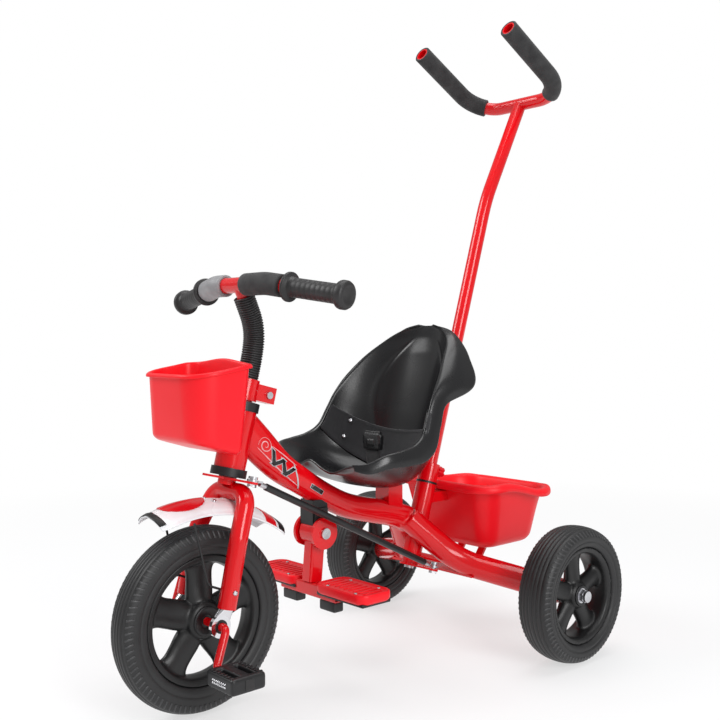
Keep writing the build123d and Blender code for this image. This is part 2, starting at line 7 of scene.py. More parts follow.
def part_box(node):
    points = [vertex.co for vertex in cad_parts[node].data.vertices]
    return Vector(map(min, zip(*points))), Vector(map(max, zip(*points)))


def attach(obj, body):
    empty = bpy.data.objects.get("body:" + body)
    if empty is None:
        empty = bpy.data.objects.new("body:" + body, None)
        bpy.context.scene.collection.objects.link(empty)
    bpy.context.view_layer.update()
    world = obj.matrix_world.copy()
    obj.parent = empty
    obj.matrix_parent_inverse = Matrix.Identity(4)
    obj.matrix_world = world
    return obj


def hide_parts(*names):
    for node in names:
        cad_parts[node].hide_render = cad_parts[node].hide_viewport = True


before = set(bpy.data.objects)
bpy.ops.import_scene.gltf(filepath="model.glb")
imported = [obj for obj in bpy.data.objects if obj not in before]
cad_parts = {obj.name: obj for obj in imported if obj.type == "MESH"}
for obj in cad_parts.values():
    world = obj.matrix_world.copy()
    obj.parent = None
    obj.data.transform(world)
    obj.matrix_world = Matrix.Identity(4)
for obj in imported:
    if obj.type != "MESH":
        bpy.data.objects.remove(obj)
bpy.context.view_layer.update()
print("stage 1: frame loaded")


# places taken from the frame

def middleOf(node):
    low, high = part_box(node)
    return (low + high) / 2


frontAxle = middleOf("front_tyre")
mm = 0.001


def at(x, y, z):  # millimetres, y counted back from the front axle
    return Vector((x * mm, frontAxle.y + y * mm, z * mm))


def leaningAxis(footY, footZ, degrees):
    lean = math.radians(degrees)
    up = Vector((0, math.sin(lean), math.cos(lean)))
    back = Vector((0, math.cos(lean), -math.sin(lean)))
    return {"foot": at(0, footY, footZ), "up": up, "back": back}


headAxis = leaningAxis(50.4, 319.3, 14.5)


def onAxis(axis, x, y, z):
    return axis["foot"] + Vector((x * mm, 0, 0)) + axis["back"] * (y * mm) + axis["up"] * (z * mm)


# camera, floor and light

def addObject(name, data):
    thing = bpy.data.objects.new(name, data)
    bpy.context.scene.collection.objects.link(thing)
    return thing

def join(source, target):
    source.id_data.links.new(source, target)


def setCamera():
    view = {"spot": (1099.3, -693.4, 508.8), "turn": 48.106, "tilt": 1.727, "roll": -0.32, "lens": 48.15}
    a, e, r = (math.radians(view[k]) for k in ("turn", "tilt", "roll"))
    back = Vector((math.sin(a) * math.cos(e), -math.cos(a) * math.cos(e), math.sin(e)))
    right = (-back).cross(Vector((0, 0, 1))).normalized()
    up = right.cross(-back)
    right, up = right * math.cos(r) + up * math.sin(r), up * math.cos(r) - right * math.sin(r)
    turn = Matrix((right, up, back)).transposed()
    data = bpy.data.cameras.new("camera")
    data.lens = view["lens"]
    data.sensor_width = 36
    data.clip_start = 0.05
    camera = addObject("camera", data)
    camera.matrix_world = Matrix.Translation(at(*view["spot"])) @ turn.to_4x4()
    bpy.context.scene.camera = camera


def areaLight(name, spot, target, size, power):
    data = bpy.data.lights.new(name, "AREA")
    data.shape = "RECTANGLE"
    data.size, data.size_y = size
    data.energy = power
    light = addObject(name, data)
    light.location = spot
    light.rotation_euler = (Vector(target) - Vector(spot)).to_track_quat("-Z", "Y").to_euler()


def setStage():
    world = bpy.data.worlds.new("softRoom")
    world.use_nodes = True
    tree = world.node_tree
    background = tree.nodes["Background"]
    background.inputs["Color"].default_value = (1.0, 1.0, 1.0, 1)
    room = {"seen": 1.0, "light": 0.42}
    path = tree.nodes.new("ShaderNodeLightPath")
    level = tree.nodes.new("ShaderNodeMapRange")
    level.inputs["To Min"].default_value = room["light"]
    level.inputs["To Max"].default_value = room["seen"]
    join(path.outputs["Is Camera Ray"], level.inputs["Value"])
    join(level.outputs["Result"], background.inputs["Strength"])
    bpy.context.scene.world = world
    areaLight("keyLight", (-1.5, -1.7, 2.2), (0, 0, 0.35), (1.3, 1.3), 40)
    areaLight("sideLight", (2.5, -0.5, 1.35), (0, 0, 0.35), (1.0, 1.6), 42)
    areaLight("topLight", (0.1, 0.3, 2.8), (0, 0, 0.3), (2.0, 2.0), 38)
    mesh = bpy.data.meshes.new("floor")
    half = 9
    corners = [(x * half, y * half, 0) for x, y in ((-1, -1), (1, -1), (1, 1), (-1, 1))]
    mesh.from_pydata(corners, [], [(0, 1, 2, 3)])
    floor = addObject("floor", mesh)
    floorMaterial = bpy.data.materials.new("paleFloor")
    floorMaterial.use_nodes = True
    tree = floorMaterial.node_tree
    shader = tree.nodes["Principled BSDF"]
    shader.inputs["Base Color"].default_value = (0.90, 0.905, 0.92, 1)
    shader.inputs["Roughness"].default_value = 0.5
    fade = {"from": 0.55, "to": 1.9}  # metres from the middle over which the floor turns to plain white
    white = tree.nodes.new("ShaderNodeEmission")
    place = tree.nodes.new("ShaderNodeTexCoord")
    reach = tree.nodes.new("ShaderNodeVectorMath")
    reach.operation = "LENGTH"
    share = tree.nodes.new("ShaderNodeMapRange")
    share.inputs["From Min"].default_value = fade["from"]
    share.inputs["From Max"].default_value = fade["to"]
    share.inputs["To Min"].default_value = 0.6
    mix = tree.nodes.new("ShaderNodeMixShader")
    join(place.outputs["Object"], reach.inputs[0])
    join(reach.outputs["Value"], share.inputs["Value"])
    join(share.outputs["Result"], mix.inputs["Fac"])
    join(shader.outputs[0], mix.inputs[1])
    join(white.outputs[0], mix.inputs[2])
    join(mix.outputs[0], tree.nodes["Material Output"].inputs["Surface"])
    mesh.materials.append(floorMaterial)
    bpy.context.scene.view_settings.view_transform = "Standard"
    bpy.context.scene.view_settings.look = "None"


setCamera()
setStage()
print("stage 2: camera and light set")


# materials

def addNode(tree, kind, **values):
    node = tree.nodes.new(kind)
    for key, value in values.items():
        if key in node.inputs:
            node.inputs[key].default_value = value
        else:
            setattr(node, key, value)
    return node


def speckle(tree, scale, detail=3.0, rough=0.5):
    place = addNode(tree, "ShaderNodeTexCoord")
    cloud = addNode(tree, "ShaderNodeTexNoise")
    cloud.inputs["Scale"].default_value = scale
    cloud.inputs["Detail"].default_value = detail
    cloud.inputs["Roughness"].default_value = rough
    join(place.outputs["Object"], cloud.inputs["Vector"])
    return cloud


def spread(tree, source, low, high, fromLow=0.3, fromHigh=0.7):
    remap = addNode(tree, "ShaderNodeMapRange")
    for key, value in zip(("From Min", "From Max", "To Min", "To Max"), (fromLow, fromHigh, low, high)):
        remap.inputs[key].default_value = value
    join(source, remap.inputs["Value"])
    return remap.outputs["Result"]


def blendColour(tree, factor, first, second):
    mix = addNode(tree, "ShaderNodeMix", data_type="RGBA")
    for socket in mix.inputs:
        if socket.type == "RGBA":
            socket.default_value = (*(first if socket.name == "A" else second), 1)
    join(factor, mix.inputs[0])
    return mix.outputs[2]


def addBump(tree, shader, heights, strength, distance):
    last = None
    for height, amount in heights:
        bump = addNode(tree, "ShaderNodeBump")
        bump.inputs["Strength"].default_value = strength * amount
        bump.inputs["Distance"].default_value = distance
        join(height, bump.inputs["Height"])
        if last is not None:
            join(last, bump.inputs["Normal"])
        last = bump.outputs["Normal"]
    join(last, shader.inputs["Normal"])


def startMaterial(name):
    material = bpy.data.materials.new(name)
    material.use_nodes = True
    return material, material.node_tree, material.node_tree.nodes["Principled BSDF"]


# two shades, cloud scale, roughness range, grain scale, bump strength and depth, fixed values
finishes = {
    "redPaint": ((0.72, 0.0015, 0.006), (0.62, 0.001, 0.004), 9, (0.14, 0.22), 260, 0.05, 0.0004,
        {"Coat Weight": 0.35, "Coat Roughness": 0.06, "Specular IOR Level": 0.32}),
    "redBasket": ((0.9, 0.006, 0.016), (0.83, 0.004, 0.011), 7, (0.34, 0.42), 700, 0.06, 0.0003,
        {"Specular IOR Level": 0.3}),
    "redTrim": ((0.7, 0.004, 0.012), (0.58, 0.003, 0.008), 12, (0.2, 0.3), 400, 0.05, 0.0003,
        {"Coat Weight": 0.2, "Specular IOR Level": 0.35}),
    "seatPlastic": ((0.0085, 0.0085, 0.0095), (0.006, 0.006, 0.0068), 8, (0.2, 0.3), 900, 0.08, 0.0003,
        {"Specular IOR Level": 0.5}),
    "blackPlastic": ((0.01, 0.01, 0.011), (0.006, 0.006, 0.007), 20, (0.36, 0.48), 1400, 0.15, 0.0003,
        {"Specular IOR Level": 0.45}),
    "rimPlastic": ((0.0075, 0.0075, 0.008), (0.005, 0.005, 0.0055), 16, (0.34, 0.46), 1300, 0.12, 0.0003,
        {"Specular IOR Level": 0.45}),
    "blackFoam": ((0.032, 0.032, 0.033), (0.018, 0.018, 0.019), 60, (0.72, 0.9), 2600, 0.5, 0.0004,
        {"Specular IOR Level": 0.35, "Sheen Weight": 0.1}),
    # the next finish is a lighter copy of the black foam for the right bar sleeve: painted highlight standing in for
    # strong light falling on it
    "paintedHighlightFoam": ((0.3, 0.3, 0.31), (0.2, 0.2, 0.21), 45, (0.38, 0.5), 2200, 0.3, 0.0003,
        {"Specular IOR Level": 0.5}),
    "gripRubber": ((0.016, 0.015, 0.016), (0.01, 0.0095, 0.01), 30, (0.42, 0.56), 1700, 0.2, 0.0003, {}),
    # the next finish is paler than the tyre rubber: the tread marks are coloured lighter as a painted highlight on
    # the raised ribs
    "paintedHighlightTread": ((0.05, 0.05, 0.052), (0.03, 0.03, 0.032), 60, (0.34, 0.46), 1500, 0.2, 0.0003, {}),
    "whitePlastic": ((0.84, 0.85, 0.87), (0.77, 0.78, 0.81), 10, (0.2, 0.3), 600, 0.04, 0.0003,
        {"Coat Weight": 0.2}),
    "blackSteel": ((0.01, 0.01, 0.011), (0.006, 0.006, 0.007), 25, (0.3, 0.42), 900, 0.1, 0.0003, {}),
    "chrome": ((0.8, 0.8, 0.82), (0.7, 0.7, 0.73), 40, (0.08, 0.16), 500, 0.05, 0.0003, {"Metallic": 1}),
    "zincSteel": ((0.66, 0.66, 0.68), (0.52, 0.52, 0.55), 90, (0.22, 0.38), 1500, 0.12, 0.0003,
        {"Metallic": 1}),
    "buckleBlack": ((0.012, 0.012, 0.013), (0.008, 0.008, 0.009), 40, (0.2, 0.3), 1500, 0.1, 0.0002, {}),
    "decalPink": ((0.86, 0.46, 0.48), (0.78, 0.36, 0.38), 60, (0.25, 0.35), 900, 0.04, 0.0002, {}),
    "decalGrey": ((0.55, 0.56, 0.58), (0.46, 0.47, 0.49), 60, (0.25, 0.35), 900, 0.04, 0.0002, {}),
    "decalBlack": ((0.008, 0.008, 0.009), (0.005, 0.005, 0.006), 60, (0.2, 0.3), 900, 0.04, 0.0002, {}),
}


def makeFinish(name):
    first, second, cloudScale, (low, high), grainScale, strength, depth, fixed = finishes[name]
    material, tree, shader = startMaterial(name)
    cloud = speckle(tree, cloudScale).outputs["Fac"]
    grain = speckle(tree, grainScale, 2.0).outputs["Fac"]
    join(blendColour(tree, spread(tree, cloud, 0, 1), first, second), shader.inputs["Base Color"])
    join(spread(tree, cloud, low, high), shader.inputs["Roughness"])
    addBump(tree, shader, [(grain, 1.0)], strength, depth)
    for key, value in fixed.items():
        shader.inputs[key].default_value = value
    return material


def makeTyreRubber():
    material, tree, shader = startMaterial("tyreRubber")
    dust = speckle(tree, 38, 5.0, 0.6)
    grain = speckle(tree, 1500, 3.0)
    dark, pale = (0.0095, 0.0095, 0.010), (0.017, 0.017, 0.018)
    colour = blendColour(tree, spread(tree, dust.outputs["Fac"], 0, 1), dark, pale)
    join(colour, shader.inputs["Base Color"])
    join(spread(tree, dust.outputs["Fac"], 0.42, 0.58), shader.inputs["Roughness"])
    addBump(tree, shader, [(grain.outputs["Fac"], 1.0), (dust.outputs["Fac"], 0.4)], 0.25, 0.0004)
    return material


def makeWebbing():  # woven nylon: crossed waves along the strap's own UV
    material, tree, shader = startMaterial("blackWebbing")
    uv = addNode(tree, "ShaderNodeUVMap", uv_map="weave")
    warp = addNode(tree, "ShaderNodeTexWave", bands_direction="X")
    weft = addNode(tree, "ShaderNodeTexWave", bands_direction="Y")
    for wave, scale in ((warp, 26.0), (weft, 34.0)):
        wave.inputs["Scale"].default_value = scale
        wave.inputs["Distortion"].default_value = 0.6
        join(uv.outputs["UV"], wave.inputs["Vector"])
    cross = addNode(tree, "ShaderNodeMath", operation="MULTIPLY")
    join(warp.outputs["Fac"], cross.inputs[0])
    join(weft.outputs["Fac"], cross.inputs[1])
    fuzz = speckle(tree, 900, 4.0)
    dark, pale = (0.006, 0.006, 0.008), (0.022, 0.022, 0.026)
    colour = blendColour(tree, spread(tree, cross.outputs[0], 0, 1, 0.0, 0.8), dark, pale)
    join(colour, shader.inputs["Base Color"])
    join(spread(tree, fuzz.outputs["Fac"], 0.7, 0.9), shader.inputs["Roughness"])
    addBump(tree, shader, [(cross.outputs[0], 1.0), (fuzz.outputs["Fac"], 0.3)], 0.6, 0.0006)
    shader.inputs["Sheen Weight"].default_value = 0.25
    return material


slotFinish = {
    "red_paint": "redPaint", "black_plastic": "blackPlastic", "black_seat": "seatPlastic",
    "black_fabric": "webbing", "buckle_plastic": "buckleBlack", "red_basket": "redBasket",
    "red_trim": "redTrim", "zinc_steel": "zincSteel", "chrome_steel": "chrome",
    "white_plastic": "whitePlastic", "black_rubber": "gripRubber", "black_foam": "blackFoam",
    "black_steel": "blackSteel", "tyre_rubber": "tyreRubber", "rim_plastic": "rimPlastic",
}


finish = {name: makeFinish(name) for name in finishes}
finish["tyreRubber"] = makeTyreRubber()
finish["webbing"] = makeWebbing()
print("stage 3: materials made")


# mesh helpers

def makePiece(name, points, faces, material, smooth=True):
    mesh = bpy.data.meshes.new(name)
    mesh.from_pydata([tuple(p) for p in points], [], faces)
    mesh.materials.append(material)
    if smooth:
        mesh.shade_smooth()
    mesh.validate()
    return addObject(name, mesh)


def tidyNormals(piece, merge=1e-6):
    work = bmesh.new()
    work.from_mesh(piece.data)
    bmesh.ops.remove_doubles(work, verts=work.verts, dist=merge)
    bmesh.ops.recalc_face_normals(work, faces=work.faces)
    work.to_mesh(piece.data)
    work.free()
    return piece


def fix(piece, body, slotName, *nodes):
    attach(piece, body)
    if nodes:
        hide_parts(*nodes)
    return piece


def bakeModifiers(piece):
    graph = bpy.context.evaluated_depsgraph_get()
    mesh = bpy.data.meshes.new_from_object(piece.evaluated_get(graph))
    piece.modifiers.clear()
    piece.data = mesh
    return piece


def giveWall(piece, thickness, offset, rounded=True):
    # a sheet becomes a closed wall, thickness in millimetres
    wall = piece.modifiers.new("wall", "SOLIDIFY")
    wall.thickness = thickness * mm
    wall.offset = offset
    if rounded:
        rounding = piece.modifiers.new("round", "SUBSURF")
        rounding.levels = rounding.render_levels = 1
    return bakeModifiers(piece)


def roundedPath(corners, radius, arcSteps=10, runStep=0.012):
    radii = radius if isinstance(radius, (list, tuple)) else [radius] * (len(corners) - 2)
    points = [corners[0]]
    for corner, before, after, r in zip(corners[1:-1], corners[:-2], corners[2:], radii):
        inward = (before - corner).normalized()
        outward = (after - corner).normalized()
        half = inward.angle(outward) / 2
        reach = r * mm / math.tan(half)
        start, end = corner + inward * reach, corner + outward * reach
        centre = corner + (inward + outward).normalized() * (r * mm / math.sin(half))
        fillRun(points, start, runStep)
        for i in range(1, arcSteps + 1):
            spoke = (start - centre).normalized().slerp((end - centre).normalized(), i / arcSteps)
            points.append(centre + spoke * (start - centre).length)
    fillRun(points, corners[-1], runStep)
    return points


def fillRun(points, end, step):
    start = points[-1]
    count = max(1, round((end - start).length / step))
    for i in range(1, count + 1):
        points.append(start.lerp(end, i / count))


def framesAlong(path, side=Vector((1, 0, 0))):
    if abs((path[1] - path[0]).normalized().dot(side)) > 0.7:
        side = Vector((0, 1, 0))
    frames = []
    for i, point in enumerate(path):
        ahead = (path[min(i + 1, len(path) - 1)] - path[max(i - 1, 0)]).normalized()
        side = (side - ahead * side.dot(ahead)).normalized()
        frames.append((point, ahead, side, ahead.cross(side)))
    return frames


def lengthsAlong(path):
    total, out = 0.0, [0.0]
    for a, b in zip(path, path[1:]):
        total += (b - a).length
        out.append(total)
    return out


def rowsToMesh(rows, closedRow=True, closedEnds=False, cap=True):
    width = len(rows[0])
    points = [p for row in rows for p in row]
    faces = []
    count = len(rows)
    for i in range(count if closedEnds else count - 1):
        for k in range(width if closedRow else width - 1):
            a = i * width + k
            b = i * width + (k + 1) % width
            c = ((i + 1) % count) * width + (k + 1) % width
            d = ((i + 1) % count) * width + k
            faces.append((a, b, c, d))
    if cap and not closedEnds and closedRow:
        faces.append(tuple(range(width - 1, -1, -1)))
        faces.append(tuple((count - 1) * width + k for k in range(width)))
    return points, faces


def tubePiece(name, path, radius, sides, material):
    rows = [ringAt(spot, radius, sides) for spot in framesAlong(path)]
    return tidyNormals(makePiece(name, *rowsToMesh(rows), material))


def pipePiece(name, path, outer, inner, sides, material, edge=0.0008):
    # an open-ended pipe wall with softened end edges
    spots = framesAlong(path)
    first, last = spots[0], spots[-1]
    rows = [ringAt(first, inner, sides), ringAt(first, outer - edge, sides)]
    rows.append(ringAt(first, outer, sides, edge))
    rows += [ringAt(spot, outer, sides) for spot in spots[1:-1]]
    rows += [ringAt(last, outer, sides, -edge), ringAt(last, outer - edge, sides), ringAt(last, inner, sides)]
    rows += [ringAt(spot, inner, sides) for spot in reversed(spots[1:-1])]
    return tidyNormals(makePiece(name, *rowsToMesh(rows, closedEnds=True), material))


def ringAt(spot, radius, sides, shift=0.0):
    # spot is a point with the directions ahead, sideways and up
    point, ahead, u, v = spot
    turns = [2 * math.pi * k / sides for k in range(sides)]
    return [point + ahead * shift + (u * math.cos(t) + v * math.sin(t)) * radius for t in turns]


def lathe(name, profile, centre, axis, side, steps, material, closed=True):
    # profile: (along, radius) in millimetres, turned round axis through centre
    other = axis.cross(side)
    rows = []
    for i in range(steps):
        angle = 2 * math.pi * i / steps
        outward = side * math.cos(angle) + other * math.sin(angle)
        rows.append([centre + axis * (along * mm) + outward * (radius * mm) for along, radius in profile])
    return tidyNormals(makePiece(name, *rowsToMesh(rows, closedRow=closed, closedEnds=True), material))


def joinMeshes(name, parts, material):
    work = bmesh.new()
    for part in parts:
        work.from_mesh(part.data)
    mesh = bpy.data.meshes.new(name)
    work.to_mesh(mesh)
    work.free()
    for part in parts:
        bpy.data.objects.remove(part)
    mesh.materials.clear()
    mesh.materials.append(material)
    mesh.shade_smooth()
    return addObject(name, mesh)


def fuse(name, parts, material, voxel, passes):
    # overlapping closed shells become one smooth moulded or welded body
    piece = joinMeshes(name, parts, material)
    remesh = piece.modifiers.new("fuse", "REMESH")
    remesh.mode = "VOXEL"
    remesh.voxel_size = voxel * mm
    remesh.use_smooth_shade = True
    smooth = piece.modifiers.new("relax", "SMOOTH")
    smooth.factor = 0.5
    smooth.iterations = passes
    bakeModifiers(piece)
    piece.data.materials.clear()
    piece.data.materials.append(material)
    piece.data.shade_smooth()
    return piece


def roundBox(name, centre, size, radius, material):
    # a box with softened corners; size in millimetres
    work = bmesh.new()
    bmesh.ops.create_cube(work, size=1.0)
    for vert in work.verts:
        vert.co = centre + Vector([vert.co[i] * size[i] * mm for i in range(3)])
    bmesh.ops.bevel(work, geom=work.edges, offset=radius * mm, segments=3, profile=0.6, affect="EDGES")
    bmesh.ops.recalc_face_normals(work, faces=work.faces)
    mesh = bpy.data.meshes.new(name)
    work.to_mesh(mesh)
    work.free()
    mesh.materials.append(material)
    mesh.shade_smooth()
    return addObject(name, mesh)


# geometry node trees for what repeats

def startTree(name, inputs):
    tree = bpy.data.node_groups.new(name, "GeometryNodeTree")
    for title, kind in inputs:
        tree.interface.new_socket(title, in_out="INPUT", socket_type="NodeSocket" + kind)
    tree.interface.new_socket("Geometry", in_out="OUTPUT", socket_type="NodeSocketGeometry")
    return tree, tree.nodes.new("NodeGroupInput").outputs, tree.nodes.new("NodeGroupOutput").inputs


def finishTree(tree, geometry, inputs, outputs):
    realize = tree.nodes.new("GeometryNodeRealizeInstances")
    paint = tree.nodes.new("GeometryNodeSetMaterial")
    join(geometry, realize.inputs[0])
    join(realize.outputs[0], paint.inputs["Geometry"])
    join(inputs["Material"], paint.inputs["Material"])
    join(paint.outputs[0], outputs[0])


def mathNode(tree, operation, first, second=None):
    node = tree.nodes.new("ShaderNodeMath")
    node.operation = operation
    for socket, value in zip(node.inputs, (first, second)):
        if isinstance(value, (int, float)):
            socket.default_value = value
        elif value is not None:
            join(value, socket)
    return node.outputs[0]


def placeCopies(tree, inputs, points, turn):
    info = tree.nodes.new("GeometryNodeObjectInfo")
    copies = tree.nodes.new("GeometryNodeInstanceOnPoints")
    join(inputs["Part"], info.inputs["Object"])
    join(points, copies.inputs["Points"])
    join(info.outputs["Geometry"], copies.inputs["Instance"])
    join(turn, copies.inputs["Rotation"])
    return copies


def makeRingTree():  # copies of a part round an axle that runs along X
    tree, inputs, outputs = startTree("ringOfCopies", [
        ("Count", "Int"), ("Radius", "Float"), ("Centre", "Vector"), ("Part", "Object"), ("Material", "Material"),
    ])
    index = tree.nodes.new("GeometryNodeInputIndex").outputs[0]
    angle = mathNode(tree, "MULTIPLY", mathNode(tree, "DIVIDE", index, inputs["Count"]), 2 * math.pi)
    spot = tree.nodes.new("ShaderNodeCombineXYZ")
    for socket, wave in zip(spot.inputs[1:3], ("COSINE", "SINE")):
        join(mathNode(tree, "MULTIPLY", mathNode(tree, wave, angle), inputs["Radius"]), socket)
    turn = tree.nodes.new("ShaderNodeCombineXYZ")
    join(angle, turn.inputs[0])
    points = tree.nodes.new("GeometryNodePoints")
    join(inputs["Count"], points.inputs["Count"])
    join(spot.outputs[0], points.inputs["Position"])
    copies = placeCopies(tree, inputs, points.outputs[0], turn.outputs[0])
    shift = tree.nodes.new("GeometryNodeTransform")
    join(copies.outputs[0], shift.inputs["Geometry"])
    join(inputs["Centre"], shift.inputs["Translation"])
    finishTree(tree, shift.outputs[0], inputs, outputs)
    return tree


def makePathTree():  # copies of a part along a curve object, turned with it
    tree, inputs, outputs = startTree("copiesAlongPath", [
        ("Path", "Object"), ("Spacing", "Float"), ("Part", "Object"), ("Material", "Material"),
    ])
    info = tree.nodes.new("GeometryNodeObjectInfo")
    join(inputs["Path"], info.inputs["Object"])
    points = tree.nodes.new("GeometryNodeCurveToPoints")
    points.mode = "LENGTH"
    join(info.outputs["Geometry"], points.inputs["Curve"])
    join(inputs["Spacing"], points.inputs["Length"])
    copies = placeCopies(tree, inputs, points.outputs["Points"], points.outputs["Rotation"])
    finishTree(tree, copies.outputs[0], inputs, outputs)
    return tree


def makeSpotTree():  # copies of a part on marked spots, each looking along its own aim
    tree, inputs, outputs = startTree("copiesOnSpots", [
        ("Geometry", "Geometry"), ("Size", "Float"), ("Part", "Object"), ("Material", "Material"),
    ])
    aim = tree.nodes.new("GeometryNodeInputNamedAttribute")
    aim.data_type = "FLOAT_VECTOR"
    aim.inputs["Name"].default_value = "aim"
    turn = tree.nodes.new("FunctionNodeAlignRotationToVector")
    turn.axis = "Z"
    join(aim.outputs[0], turn.inputs["Vector"])
    copies = placeCopies(tree, inputs, inputs["Geometry"], turn.outputs[0])
    join(inputs["Size"], copies.inputs["Scale"])
    finishTree(tree, copies.outputs[0], inputs, outputs)
    return tree


ringTree, pathTree, spotTree = makeRingTree(), makePathTree(), makeSpotTree()


def growCopies(name, tree, values, start=None):
    piece = start or makePiece(name, [], [], finish["blackPlastic"])
    part = piece.modifiers.new("copies", "NODES")
    part.node_group = tree
    for item in tree.interface.items_tree:
        if item.in_out == "INPUT" and item.name in values:
            part[item.identifier] = values[item.name]
    piece.update_tag()
    bpy.context.view_layer.update()
    bakeModifiers(piece)
    piece.data.shade_smooth()
    return piece


def onSpots(name, spots, part, size, material):
    start = makePiece(name, [spot for spot, aim in spots], [], material)
    aims = start.data.attributes.new("aim", "FLOAT_VECTOR", "POINT")
    for item, (spot, aim) in zip(aims.data, spots):
        item.vector = aim
    return growCopies(name, spotTree, {"Size": size, "Part": part, "Material": material}, start)


def pathCurve(points, cyclic=False):
    data = bpy.data.curves.new("path", "CURVE")
    data.dimensions = "3D"
    line = data.splines.new("POLY")
    line.points.add(len(points) - 1)
    for item, point in zip(line.points, points):
        item.co = (*point, 1)
    line.use_cyclic_u = cyclic
    return addObject("path", data)


def dropParts(*parts):
    for part in parts:
        bpy.data.objects.remove(part)


def boxPart(size):  # a small block with chamfered top, centred on its base; size in millimetres
    x, y, z = (value * mm / 2 for value in size)
    base = [(-x, -y, 0), (x, -y, 0), (x, y, 0), (-x, y, 0)]
    cut = min(x, y) * 0.45
    top = [(px - math.copysign(cut, px), py - math.copysign(cut, py), 2 * z) for px, py, pz in base]
    mid = [(px, py, 1.3 * z) for px, py, pz in base]
    faces = [(3, 2, 1, 0), (8, 9, 10, 11)]
    for row in (0, 4):
        faces += [(row + k, row + (k + 1) % 4, row + 4 + (k + 1) % 4, row + 4 + k) for k in range(4)]
    return makePiece("part", base + mid + top, faces, finish["blackPlastic"], smooth=False)


def screwPart():  # pan head with a crossed recess, 8 mm across
    profile = [(0.0, 4.0), (1.2, 4.0), (2.2, 3.4), (2.9, 2.2), (3.1, 0.0)]
    rows = []
    for k in range(16):
        angle = 2 * math.pi * k / 16
        row = [Vector((0, 0, 0))]
        for height, radius in profile:
            sink = 1.1 if radius < 2.6 and k % 4 == 0 else 0.0
            spot = Vector((math.cos(angle) * radius, math.sin(angle) * radius, height - sink))
            row.append(spot * mm)
        rows.append(row)
    faces = rowsToMesh(rows, closedRow=False, closedEnds=True)
    return tidyNormals(makePiece("part", *faces, finish["chrome"], smooth=False))


print("stage 4: node trees made")


# wheels

tyreShape = [  # share of the half width, share of the height above the rim seat
    (0.0, 1.0), (0.10, 0.998), (0.115, 0.972), (0.155, 0.972), (0.17, 0.994), (0.33, 0.982), (0.345, 0.955),
    (0.385, 0.950), (0.40, 0.972), (0.555, 0.942), (0.57, 0.915), (0.61, 0.903), (0.625, 0.925), (0.78, 0.872),
    (0.89, 0.79), (0.965, 0.67), (1.0, 0.54), (1.0, 0.42), (0.985, 0.34), (0.955, 0.325), (0.945, 0.285),
    (0.965, 0.265), (0.945, 0.17), (0.885, 0.06), (0.80, 0.0), (0.6, 0.0), (0.3, 0.0), (0.0, 0.0),
]

wheels = {
    "front": {
        "radius": 125, "half": 22.0, "seat": 88, "steps": 180,
        "marks": 90, "markShare": (0.60, 0.86), "markWide": 2.6, "markTall": 1.7, "markSlant": 3.0,
        "ringDepth": 10, "ringHalf": 17.5, "hubRadius": 27, "hubHalf": 19,
        "spoke": [(16, 18, 15), (34, 20.5, 12), (50, 20, 10), (66, 21, 10), (82, 31, 11)],
        "voxel": 1.7, "capRadius": 20,
    },
    "rear": {
        "radius": 104, "half": 28.0, "seat": 74, "steps": 160,
        "marks": 78, "markShare": (0.58, 0.84), "markWide": 2.6, "markTall": 1.7, "markSlant": 3.0,
        "ringDepth": 9, "ringHalf": 23.0, "hubRadius": 21, "hubHalf": 18,
        "spoke": [(12, 14, 13), (28, 15, 11), (42, 15, 9.5), (55, 17, 9.5), (69, 26, 11)],
        "voxel": 1.7, "capRadius": 16,
    },
}


def makeTyre(name, size, centre, body, node):
    height = size["radius"] - size["seat"]
    half = [(x * size["half"], size["seat"] + r * height) for x, r in tyreShape]
    profile = half + [(-x, r) for x, r in reversed(half[1:-1])]
    axle, outward = Vector((1, 0, 0)), Vector((0, 1, 0))
    tyre = lathe(name, profile, centre, axle, outward, size["steps"], finish["tyreRubber"])
    fix(tyre, body, "tyre_rubber", node)
    low, high = (size["seat"] + share * height for share in size["markShare"])
    for side in (-1, 1):
        part = boxPart((high - low, size["markWide"], size["markTall"]))
        inner, outer = surfaceX(size, size["markShare"][0]), surfaceX(size, size["markShare"][1])
        for vert in part.data.vertices:
            x, y, z = vert.co
            share = x / ((high - low) * mm) + 0.5
            sideways = (inner + (outer - inner) * share) * mm - 0.25 * mm + z
            vert.co = (side * sideways, x, y + (share - 0.5) * size["markSlant"] * mm)
        part.data.update()
        tidyNormals(part)
        # the marks take the paler tread finish: painted highlight on the raised ribs
        marks = growCopies(f"{name}Marks{'Left' if side > 0 else 'Right'}", ringTree, {
            "Count": size["marks"], "Radius": (low + high) / 2 * mm, "Centre": centre,
            "Part": part, "Material": finish["paintedHighlightTread"],
        })
        dropParts(part)
        tidyNormals(marks)
        fix(marks, body, "tyre_rubber")


def surfaceX(size, share):
    for (xa, ra), (xb, rb) in zip(tyreShape, tyreShape[1:]):
        if rb <= share <= ra:
            return size["half"] * (xb + (xa - xb) * (share - rb) / (ra - rb))
    return size["half"]


